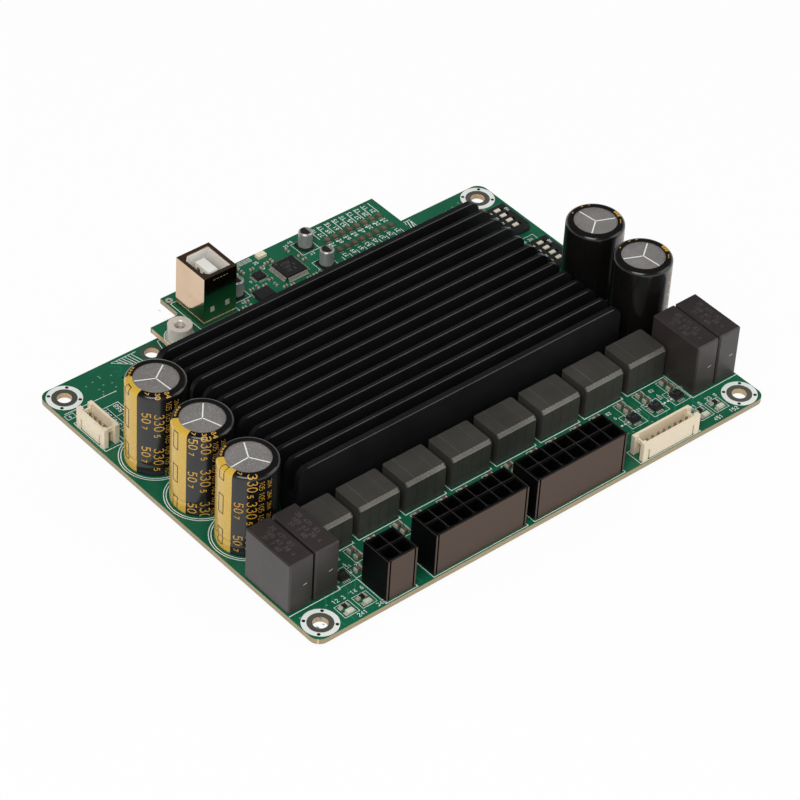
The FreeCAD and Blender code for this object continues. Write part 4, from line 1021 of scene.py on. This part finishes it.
@dataclass
class SleevedCapacitor:
    """One large can capacitor: a shrunk sleeve with a stripe and print, over the metal can."""

    name: str
    x: float
    y: float
    stripe: float | None
    score_turn: float
    radius: float = 8.0
    height: float = 26.1
    sheet: float = 0.28
    shoulder: float = 1.2
    mouth: float = 5.9
    groove_at: float = 3.6
    groove: float = 0.2
    stripe_width: float = 57.0
    segments: int = 96

    def outer_line(self, lift: float = 0.0) -> np.ndarray:
        """Radius and height of the outside, from the foot to the mouth.

        Args:
            lift: distance outside the surface.

        Returns:
            N by 2 points: a small foot radius, a straight wall with a shallow bead groove that follows
            a cosine, a quarter circle shoulder, and the level lip.
        """
        wall_r, top = self.radius + lift, self.height + lift
        z = np.linspace(0.35, self.height - self.shoulder, 60)
        dip = np.abs(z - self.groove_at) < 0.7
        wave = 1 + np.cos((z - self.groove_at) / 0.7 * np.pi)
        radius = wall_r - np.where(dip, self.groove * 0.5 * wave, 0)
        turn = np.radians(np.linspace(0, 90, 9))[1:]
        bend = self.shoulder + lift
        corner = np.column_stack([self.radius - self.shoulder + bend * np.cos(turn),
                                  self.height - self.shoulder + bend * np.sin(turn)])
        level = np.linspace(self.radius - self.shoulder - 0.05, self.mouth, 4)
        lip = np.column_stack([level, np.full(4, top)])
        foot = np.array([(self.radius - 0.3 + lift, 0.0), (wall_r - 0.08, 0.12)])
        return np.vstack([foot, np.column_stack([radius, z]), corner, lip])

    def sleeve(self) -> None:
        """Make the sleeve as a turned shell whose inside lies one sheet within the outside."""
        outside = self.outer_line()
        inside_r = np.minimum(outside[:, 0], self.radius) - self.sheet
        bore, under = self.radius - self.sheet, self.height - self.sheet
        inner = np.array([(self.mouth, under), (self.radius - self.shoulder, under),
                          (bore - 0.35, under - 0.35), (bore, self.height - self.shoulder), (bore, 0.0)])
        profile = np.vstack([outside, inner])
        turn = np.linspace(0, 2 * np.pi, self.segments, endpoint=False)[:, None]
        heights = np.broadcast_to(profile[None, :, 1], (self.segments, len(profile)))
        radii = profile[None, :, 0]
        points = np.stack([radii * np.cos(turn), radii * np.sin(turn), heights], -1)
        points = points.reshape(-1, 3)
        faces = grid_faces(self.segments, len(profile), True, True)[:, [0, 3, 2, 1]]
        finish = SLEEVE
        if self.stripe is not None:
            low = (self.stripe - self.stripe_width / 2) / 360
            finish = SleeveFinish(**{**SLEEVE.__dict__, "name": self.name + "_sleeve", "stripe_start": low,
                                     "stripe_stop": low + self.stripe_width / 360})
        piece = new_piece(self.name + "_sleeve", points + np.array([self.x, self.y, BOARD_TOP]), faces,
                          finish, smooth=35)
        layer = piece.data.uv_layers.new(name="around")
        start = faces // len(profile)
        first = start.min(axis=1, keepdims=True)
        over = (first == 0) & (start.max(axis=1, keepdims=True) == self.segments - 1)
        turn_share = (start + np.where(over & (start == 0), self.segments, 0)) / self.segments
        height_share = profile[faces % len(profile), 1] / self.height
        layer.data.foreach_set("uv", np.stack([turn_share, height_share], -1).astype(np.float32).ravel())
        self.shell = piece

    def skin(self) -> Place:
        """Lay marks on the outside: first length is the turn in degrees, second the length up the outside."""
        line = self.outer_line(INK_LIFT)
        along = np.concatenate([[0], np.cumsum(np.linalg.norm(np.diff(line, axis=0), axis=1))])

        def place(uv: np.ndarray) -> np.ndarray:
            """Return the places of the marks: the height from the outline, the turn from the first length."""
            radius = np.interp(uv[:, 1], along, line[:, 0])
            z = np.interp(uv[:, 1], along, line[:, 1])
            turn = uv[:, 0] / self.radius
            return np.column_stack([self.x + radius * np.cos(turn), self.y + radius * np.sin(turn),
                                    BOARD_TOP + z])

        return place

    def at(self, degrees: float) -> float:
        """Length round the wall of a turn in degrees."""
        return math.radians(degrees) * self.radius

    def marks(self, boxes: Sequence[tuple[float, float]], box_turn: float, first: Sequence[float],
              second: Sequence[float]) -> None:
        """Print the stripe's outlined boxes and the gold columns of numbers.

        Args:
            boxes: lowest and highest length of each box.
            box_turn: turn of the boxes in degrees.
            first: starts of the numbers in the first column, up the outside.
            second: starts of the numbers in the second column.
        """
        dark, gold = Ink(0.6), Ink(0.6)
        for low, high in boxes:
            dark.box(self.at(box_turn), (low + high) / 2, 1.8, high - low, 0.26)
        for start in first:
            u = self.at(207.5)
            gold.digits("50", u, start, 2.2, 0.3, -90)
            if start > 5:
                gold.digits("7", u, start - 4.4, 1.3, 0.24, -90)
        for start in second:
            u = self.at(230.5)
            gold.digits("330", u, start, 2.4, 0.3, -90, 0.84)
            if start > 8:
                gold.digits("5", u, start - 6.6, 1.4, 0.26, -90)
        for u, mark in ((207.5, "7"), (231.5, "30"), (252.0, "84")):
            if self.y > -10 or u < 230:
                gold.digits(mark, self.at(u), 27.6, 1.3, 0.26, -90)
        for turn in (108.0, 117.0, 126.0, 135.0):
            gold.digits("8", self.at(turn), 27.3, 0.7, 0.22, -90)
        for k in range(7):
            gold.digits("105", self.at(251.5), 24.6 - k * 3.6, 1.4, 0.13, -90, 0.7)
            gold.digits("284", self.at(268.5), 24.2 - k * 3.6, 1.2, 0.12, -90, 0.7)
        dark.lay(self.name + "_boxes", self.skin(), DARK_INK, "sleeve_black")
        gold.lay(self.name + "_numbers", self.skin(), GOLD_INK, "pin_gold")

    def faint_marks(self) -> None:
        """Print the gold marks on the lip and down the side of a sleeve with no stripe in view."""
        gold = Ink(0.6)
        for turn in (-22.0, -14.5, -7.0):
            gold.digits("8", self.at(turn), 26.4, 1.1, 0.36, 0)
        for turn in (60.0, 78.0, 112.0, -40.0, -48.0):
            gold.digits("1", self.at(turn), 27.4, 0.7, 0.24, -90)
        for k in range(6):
            gold.digits("410", self.at(290.0), 23.4 - k * 4.0, 1.4, 0.2, -90, 0.7)
            gold.digits("962", self.at(304.0), 24.0 - k * 4.0, 1.5, 0.22, -90, 0.7)
        for k in range(3):
            gold.digits("18", self.at(352.0), 20.0 - k * 8.2, 1.2, 0.2, -90)
        gold.lay(self.name + "_numbers", self.skin(), GOLD_INK, "pin_gold")

    def score(self) -> None:
        """Paint a highlight along the three vent lines in the can's top: white lines standing in for the
        light caught in the scores.
        """
        ink = Ink()
        for k in range(3):
            turn = math.radians(self.score_turn + 120 * k)
            ink.line([(self.x, self.y), (self.x + 5.6 * math.cos(turn), self.y + 5.6 * math.sin(turn))], 0.34)
        height = BOARD_TOP + self.height - 0.3 + 0.01
        # Painted highlight: white ribbons laid in the three vent scores.
        ink.lay(self.name + "_painted_vent_highlight", flat(height), WHITE_INK, "can_silver")


@dataclass
class Capacitors:
    """The five large can capacitors, the four film capacitors and their leads."""

    def build(self) -> None:
        """Make each sleeve with its print, and dress the cans and cases."""
        rows = (
            ("capacitor_1", -66.0, 20.3, 168.0, 34.0, ((3.0, 8.1), (13.4, 19.3), (24.2, 26.6)), 168.8,
             (21.0, 9.9), (20.8, 9.6)),
            ("capacitor_2", -66.0, 1.4, 174.8, 50.0, ((0.4, 4.4), (9.3, 14.7), (20.1, 25.5)), 177.3,
             (25.6, 14.9, 4.4), (26.6, 15.9, 5.2)),
            ("capacitor_3", -66.0, -16.9, 173.1, 63.0, ((1.9, 6.9), (12.0, 18.0), (23.0, 27.6)), 177.0,
             (17.8, 6.9), (27.2, 18.4, 7.6)),
            ("capacitor_4", 66.4, 1.7, None, 97.0, (), 0.0, (), ()),
            ("capacitor_5", 66.4, -16.9, None, 36.0, (), 0.0, (), ()),
        )
        for name, x, y, stripe, turn, boxes, box_turn, first, second in rows:
            capacitor = SleevedCapacitor(name, x, y, stripe, turn)
            capacitor.sleeve()
            capacitor.score()
            if boxes:
                capacitor.marks(boxes, box_turn, first, second)
            else:
                capacitor.faint_marks()
            capacitor.shell
        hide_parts("capacitor_sleeves")
        dress(CAN, "capacitor_cans")
        dress(TIN, "capacitor_leads", "film_capacitor_leads")
        dress(FILM, *(f"film_capacitor_{k}" for k in range(1, 5)))
        self.case_marks()

    def case_marks(self) -> None:
        """Print the low-contrast numbers on the film capacitors' tops and the tick on their fronts."""
        ink, tick = Ink(), Ink()
        for x in (-72.0, -63.9, 64.15, 72.05):
            for row, text in enumerate(("20 471 83", "105 63 28 4", "31 7 60")):
                ink.digits(text, x + 0.9 - 1.8 * row, -31.6 - 0.8 * row, 1.15, 0.14, -90)
            tick.line([(x + 0.6, 9.3), (x + 1.7, 9.5)], 0.16)
        top = flat(FILM_TOP + INK_LIFT)
        ink.lay("film_capacitor_numbers", top, CASE_PRINT, "film_grey")
        tick.lay("film_capacitor_ticks", wall((0, -45.7 - INK_LIFT, 0), (1, 0, 0), (0, 0, 1)),
                 WHITE_INK, "header_white")


# ---- Heatsink, inductors and headers

@dataclass
class Heatsink:
    """The finned heatsink: black finish and the painted highlight lines along its fins' edges."""

    left: float = -53.9
    front: float = -22.1
    top: float = 19.6
    pitch: float = 4.71
    thickness: tuple[float, float] = (1.3, 1.9)
    count: int = 13
    end_radius: float = 3.6
    right: float = 54.7

    def build(self) -> None:
        """Make the heatsink, dress its screws, pads and chips, and lay the painted highlight lines on its
        fins.
        """
        self.extrusion()
        dress(STEEL, "heatsink_screws")
        dress(CHIP, "power_chips")
        dress(PAD_GREY, "thermal_pads")
        self.edges()

    def extrusion(self) -> None:
        """Make the heatsink with both ends rounded: the packed one's left half and its mirror image.

        The packed mesh is cut at the middle plane, and each point of the kept half is put again as far
        beyond the plane as it is before it. Points on the plane are shared by both halves.
        """
        middle = (self.left + self.right) / 2
        half = bmesh.new()
        half.from_mesh(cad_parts["heatsink"].data)
        bmesh.ops.bisect_plane(half, geom=half.verts[:] + half.edges[:] + half.faces[:],
                               plane_co=(middle * MM, 0, 0), plane_no=(1, 0, 0), clear_outer=True)
        mesh = bpy.data.meshes.new("heatsink_half")
        half.to_mesh(mesh)
        half.free()
        points = np.empty(3 * len(mesh.vertices), np.float32)
        mesh.vertices.foreach_get("co", points)
        points = points.reshape(-1, 3).astype(float) / MM
        shared = np.abs(points[:, 0] - middle) < 1e-3
        twin = np.where(shared, np.arange(len(points)), len(points) + np.cumsum(~shared) - 1)
        rows = [list(face.vertices) for face in mesh.polygons]
        bpy.data.meshes.remove(mesh)
        mirrored = points[~shared] * (-1, 1, 1) + (2 * middle, 0, 0)
        faces = rows + [twin[row[::-1]].tolist() for row in rows]
        new_piece("heatsink_extrusion", np.vstack([points, mirrored]), faces, ANODISED,
                  smooth=30, replaces=("heatsink",))

    def edges(self) -> None:
        """Lay the painted highlight line along each fin's front edge and round both its ends: a light ribbon
        standing in for the light the edge catches.

        A point stands on the level edge where its length along the line is within the level part, and
        beyond either end it goes down the quarter circle: its angle is the rest over the radius.
        """
        ink = Ink(0.5)
        radius = self.end_radius
        straight = self.right - self.left - 2 * radius
        bend = radius * math.pi / 2 * 0.8
        ink.line([(-bend, 0), (straight + bend, 0)], 0.15)
        points, faces = joined(ink.parts)
        level = np.clip(points[:, 0], 0, straight)
        angle = (points[:, 0] - level) / radius
        x = self.left + radius + level + radius * np.sin(angle)
        z = self.top - radius * (1 - np.cos(angle))
        lots = []
        for k in range(self.count):
            thick = self.thickness[1] if k in (0, self.count - 1) else self.thickness[0]
            y = self.front + self.thickness[1] / 2 + k * self.pitch - thick / 2
            out = np.array([0, -0.7071, 0.7071]) * 0.02
            tilt = np.column_stack([0 * x, points[:, 1] * 0.7071, points[:, 1] * 0.7071])
            lots.append((np.column_stack([x, np.full(len(x), y + 0.085), z - 0.085]) + tilt + out, faces))
        points, faces = joined(lots)
        # Painted highlight: light ribbons laid along the fins' front top edges and round their ends.
        new_piece("painted_fin_highlight_lines", points, faces, FIN_HIGHLIGHT)


@dataclass
class Inductors:
    """The eight moulded inductors: finish, seams and flat terminals."""

    y: float = -29.95
    depth: float = 9.9
    top: float = 11.2
    seam: float = 3.1
    bevel: float = 0.9

    def build(self) -> None:
        """Dress the bodies, and lay seams on each top and front, a painted highlight strip on the bevel and
        painted highlight lines along its edges.
        """
        dress(INDUCTOR, *(f"inductor_{k}" for k in range(1, 9)))
        dress(TIN, "inductor_terminals")
        tops, fronts, bevel_highlights, edges = Ink(), Ink(), Ink(), Ink()
        slope = self.bevel * math.sqrt(2)
        front, back = self.y - self.depth / 2, self.y + self.depth / 2 - 0.1
        for x in INDUCTORS_X:
            tops.line([(x - self.seam, front + self.bevel), (x - self.seam, back)], 0.14)
            tops.dashes((x + self.seam, front + self.bevel), (x + self.seam, back), 0.14, 0.5, 0.4)
            for side in (-self.seam, 0.0, self.seam):
                fronts.line([(x + side, 2.6), (x + side, self.top - self.bevel - 0.1)], 0.12)
            # Painted highlight on the bevel strip, and painted highlight lines along the bevel's lower and
            # upper edges.
            bevel_highlights.patch(x, slope / 2, 12.2, self.bevel * 1.1)
            edges.line([(x - 6.2, 0.08), (x + 6.2, 0.08)], 0.13)
            edges.dashes((x - 6.2, slope - 0.06), (x + 6.2, slope - 0.06), 0.12, 0.9, 0.25)
        tops.lay("inductor_top_seams", flat(self.top + 0.015), SEAM, "inductor_grey")
        face = wall((0, front - 0.015, 0), (1, 0, 0), (0, 0, 1))
        fronts.lay("inductor_front_seams", face, DARK_SEAM, "inductor_grey")
        low = (0, front - 0.01, self.top - self.bevel + 0.01)
        bevel = wall(low, (1, 0, 0), (0, 0.7071, 0.7071))
        bevel_highlights.lay("painted_bevel_highlight_strips", bevel, BEVEL_HIGHLIGHT, "inductor_grey")
        edges.lay("painted_bevel_edge_highlight_lines", lambda uv: bevel(uv) + (0, -0.01, 0.01), BEVEL_EDGE_HIGHLIGHT,
                  "inductor_grey")


@dataclass
class Headers:
    """The plug headers: housings, pins and the painted highlight lines on the tops of their cell walls."""

    pitch: float = 4.2
    top: float = 14.6
    rows: tuple[tuple[float, int], ...] = ((-49.05, 2), (-23.1, 7), (10.3, 7))

    def build(self) -> None:
        """Dress the housings and pins and lay the painted highlight lines."""
        dress(HEADER, "supply_header", "output_header_1", "output_header_2")
        dress(GOLD_PIN, "power_header_pins")
        dress(CREAM, "front_signal_header", "left_signal_header")
        dress(TIN, "signal_header_pins")
        ink = Ink()
        for x, ways in self.rows:
            half = ways * self.pitch / 2
            for k in range(1, ways):
                ink.line([(x - half + k * self.pitch, -55.6), (x - half + k * self.pitch, -46.8)], 0.1)
            ink.line([(x - half, -51.2), (x + half, -51.2)], 0.1)
            ink.box(x, -51.2, 2 * half + 0.7, 9.8, 0.12)
        # Painted highlight: light lines along the tops of the cell walls and round each housing.
        ink.lay("painted_header_highlight_lines", flat(self.top + 0.015), HEADER_HIGHLIGHT, "header_black")


@dataclass
class UsbSocket:
    """The square socket on the raised board."""

    x: float = -22.75
    latch: float = 2.5

    def build(self) -> None:
        """Dress the shell, insert and contacts, and fill the latch windows of the near side."""
        dress(SOCKET, "usb_shell")
        dress(SOCKET_WHITE, "usb_insert")
        dress(GOLD_PIN, "usb_contacts")
        ink = Ink()
        for side in (-self.latch, self.latch):
            for step, wide in enumerate((1.5, 1.3, 1.1)):
                ink.patch(self.x + side, 10.4 + 0.5 * step, wide, 0.52)
        ink.dashes((self.x - 2.4, 20.6), (self.x + 2.4, 20.6), 0.16, 0.7, 0.4)
        face = wall((0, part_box("usb_shell")[0].y / MM - INK_LIFT, 0), (1, 0, 0), (0, 0, 1))
        ink.lay("usb_shell_marks", face, SOLDER, "lead_tin")


@dataclass
class Switches:
    """The two slide switches with four ways each."""

    def build(self) -> None:
        """Dress bodies, leads and sliders, and print the numbers on the bodies."""
        dress(SWITCH, "switch_body_1", "switch_body_2")
        dress(TIN, "switch_leads")
        dress(SLIDER, *(f"switch_slider_{k}" for k in range(1, 9)))
        ink = Ink()
        for y in SWITCHES_Y:
            for way in range(4):
                ink.digits(str(way + 1), 66.8, y - 3.3 + 2.54 * way - 1.0, 0.8, 0.14, 0)
            ink.digits("ON", 71.6, y + 3.6, 0.9, 0.15, -90)
        ink.lay("switch_numbers", flat(SWITCH_TOP + INK_LIFT), WHITE_INK, "header_white")


@dataclass
class SmallParts:
    """Chip capacitors, resistors, indicators and driver chips on the main board."""

    def build(self) -> None:
        """Dress the bodies, and put a metal cap over both ends of every chip part."""
        dress(BROWN, "filter_chip_capacitors")
        dress(LED, "indicator_leds")
        dress(CHIP, "driver_chips", "chip_resistors")
        ends, sizes = [], []
        for x in INDUCTORS_X:
            for dx in (-4.3, 4.3):
                for y in (-37.4, -40.0):
                    for end in CHIP_ENDS:
                        ends.append((x + dx + end, y, BOARD_TOP))
                        sizes.append((0.42, 1.3, 1.14))
        for end in CHIP_ENDS:
            ends.append((-52.1 + end, -43.7, BOARD_TOP))
            sizes.append((0.42, 1.3, 1.14))
        for x, y in LIGHTS:
            for side in (-0.86, 0.86):
                ends += [(x + side, y, BOARD_TOP), (x + side, y + 2.3, BOARD_TOP)]
                sizes += [(0.4, 1.3, 0.5), (0.4, 1.3, 0.54)]
        points, faces = blocks(np.array(ends), np.array(sizes))
        new_piece("chip_part_ends", points, faces, SOLDER)
        pads, marks = Ink(), Ink()
        for x in DRIVERS_X:
            marks.ring(x - 0.8, -42.3, 0.2, 0.2)
            marks.digits("17", x - 0.4, -43.6, 0.8, 0.14)
            for p in (-0.9, -0.3, 0.3, 0.9):
                pads.patch(x + p, DRIVER_Y - 1.8, 0.3, 0.9)
                pads.patch(x + p, DRIVER_Y + 1.8, 0.3, 0.9)
                pads.patch(x - 1.8, DRIVER_Y + p, 0.9, 0.3)
                pads.patch(x + 1.8, DRIVER_Y + p, 0.9, 0.3)
        for x, y in LIGHTS:
            for side in (-1.35, 1.35):
                pads.patch(x + side, y, 0.6, 1.3)
                pads.patch(x + side, y + 2.3, 0.6, 1.3)
        pads.lay("driver_chip_pads", flat(BOARD_TOP + 0.025), SOLDER, "lead_tin")
        marks.lay("driver_chip_marks", flat(DRIVER_TOP + INK_LIFT), CASE_PRINT, "chip_black")


# ---- Studio

@dataclass
class Studio:
    """White floor, soft light and the camera."""

    floor_z: float = -2.02
    floor_half: float = 2500.0
    azimuth: float = -42.675
    elevation: float = 40.533
    roll: float = 3.744
    target: tuple[float, float, float] = (-2.042, -0.602, 1.6)
    distance: float = 940.565
    focal_pixels: float = 3614.43
    image: int = 800

    def floor(self) -> None:
        """Lay a plain white floor that camera rays see as white, with a soft shadow left in it."""
        h = self.floor_half
        points = np.array([(-h, -h, 0), (h, -h, 0), (h, h, 0), (-h, h, 0)]) + (0, 0, self.floor_z)
        material = bpy.data.materials.new("studio_floor")
        material.use_nodes = True
        material.node_tree.nodes.clear()
        graph = Graph(material.node_tree)
        place = graph.add("ShaderNodeTexCoord").outputs["Object"]
        tone = graph.blend(effect_value(graph, Effect.DRIFT, place, 3.0), (0.8, 0.8, 0.8), (0.82, 0.82, 0.82))
        matt = graph.add("ShaderNodeBsdfDiffuse", Color=tone)
        glow = graph.add("ShaderNodeEmission", Strength=1.0)
        path = graph.add("ShaderNodeLightPath")
        seen = graph.maths("MAXIMUM", path.outputs["Is Camera Ray"], path.outputs["Is Transmission Ray"])
        seen = graph.maths("MAXIMUM", seen, path.outputs["Is Glossy Ray"])
        share = graph.maths("MULTIPLY", seen, 0.95)
        mix = graph.add("ShaderNodeMixShader", in_0=share, in_1=matt.outputs[0], in_2=glow.outputs[0])
        output = graph.add("ShaderNodeOutputMaterial")
        graph.tree.links.new(mix.outputs[0], output.inputs["Surface"])
        mesh = bpy.data.meshes.new("studio_floor")
        mesh.from_pydata((points * MM).tolist(), [], [(0, 1, 2, 3)])
        mesh.materials.append(material)
        floor = bpy.data.objects.new("studio_floor", mesh)
        bpy.context.scene.collection.objects.link(floor)

    def world(self) -> None:
        """Make the sky: white to the camera, even and pale to matt surfaces, and dim above to gloss."""
        world = bpy.data.worlds.new("studio_world")
        bpy.context.scene.world = world
        world.use_nodes = True
        world.node_tree.nodes.clear()
        graph = Graph(world.node_tree)
        direction = graph.add("ShaderNodeTexCoord").outputs["Generated"]
        up = graph.add("ShaderNodeSeparateXYZ", Vector=direction).outputs["Z"]
        dim = graph.span(up, 0.0, 0.5, 1.0, 0.05)
        path = graph.add("ShaderNodeLightPath")
        plain = graph.add("ShaderNodeBackground", Strength=0.55)
        gloss = graph.add("ShaderNodeBackground", Strength=dim)
        seen = graph.add("ShaderNodeBackground", Strength=1.0)
        for node in (plain, gloss, seen):
            node.inputs["Color"].default_value = (1, 1, 1, 1)
        mixed = graph.add("ShaderNodeMixShader", in_0=path.outputs["Is Glossy Ray"], in_1=plain.outputs[0],
                          in_2=gloss.outputs[0])
        direct = graph.maths("MAXIMUM", path.outputs["Is Camera Ray"], path.outputs["Is Transmission Ray"])
        final = graph.add("ShaderNodeMixShader", in_0=direct, in_1=mixed.outputs[0], in_2=seen.outputs[0])
        output = graph.add("ShaderNodeOutputWorld")
        graph.tree.links.new(final.outputs[0], output.inputs["Surface"])

    def lamp(self, name: str, place: tuple[float, float, float], size: float, power: float) -> None:
        """Set one square soft lamp that faces the object.

        Args:
            name: the lamp's name.
            place: its place in metres.
            size: its side in metres.
            power: its power in watts.
        """
        data = bpy.data.lights.new(name, "AREA")
        data.size = size
        data.energy = power
        lamp = bpy.data.objects.new(name, data)
        bpy.context.scene.collection.objects.link(lamp)
        towards = Vector((0, 0, 0)) - Vector(place)
        lamp.matrix_world = Matrix.Translation(place) @ towards.to_track_quat("-Z", "Y").to_matrix().to_4x4()

    def camera(self) -> None:
        """Set the camera back along its azimuth and elevation, turned by its roll."""
        a, e, r = (math.radians(v) for v in (self.azimuth, self.elevation, self.roll))
        back = Vector((math.sin(a) * math.cos(e), -math.cos(a) * math.cos(e), math.sin(e)))
        level = Vector((math.cos(a), math.sin(a), 0))
        upright = back.cross(level)
        right = math.cos(r) * level + math.sin(r) * upright
        up = -math.sin(r) * level + math.cos(r) * upright
        data = bpy.data.cameras.new("photo_camera")
        data.sensor_width = 36.0
        data.lens = self.focal_pixels / self.image * 36.0
        data.clip_start, data.clip_end = 0.01, 20.0
        camera = bpy.data.objects.new("photo_camera", data)
        bpy.context.scene.collection.objects.link(camera)
        place = (Vector(self.target) + back * self.distance) * MM
        camera.matrix_world = Matrix(((right.x, up.x, back.x, place.x), (right.y, up.y, back.y, place.y),
                                      (right.z, up.z, back.z, place.z), (0, 0, 0, 1)))
        bpy.context.scene.camera = camera

    def build(self) -> None:
        """Set up floor, world, lamps and camera."""
        bpy.context.scene.view_settings.view_transform = "Standard"
        self.floor()
        self.world()
        self.lamp("key_lamp", (-0.55, -0.35, 0.75), 0.55, 5.0)
        self.lamp("fill_lamp", (0.7, -0.6, 0.5), 0.7, 2.0)
        self.camera()


def main() -> None:
    """Build every piece in order."""
    logging.basicConfig(level=logging.INFO, format="%(name)s: %(message)s")
    for part in (Studio(), MainBoard(), RaisedBoard(), Capacitors(), Heatsink(), Inductors(), Headers(),
                 UsbSocket(), Switches(), SmallParts()):
        log.info("%s", type(part).__name__)
        part.build()


if __name__ == "__main__":
    main()
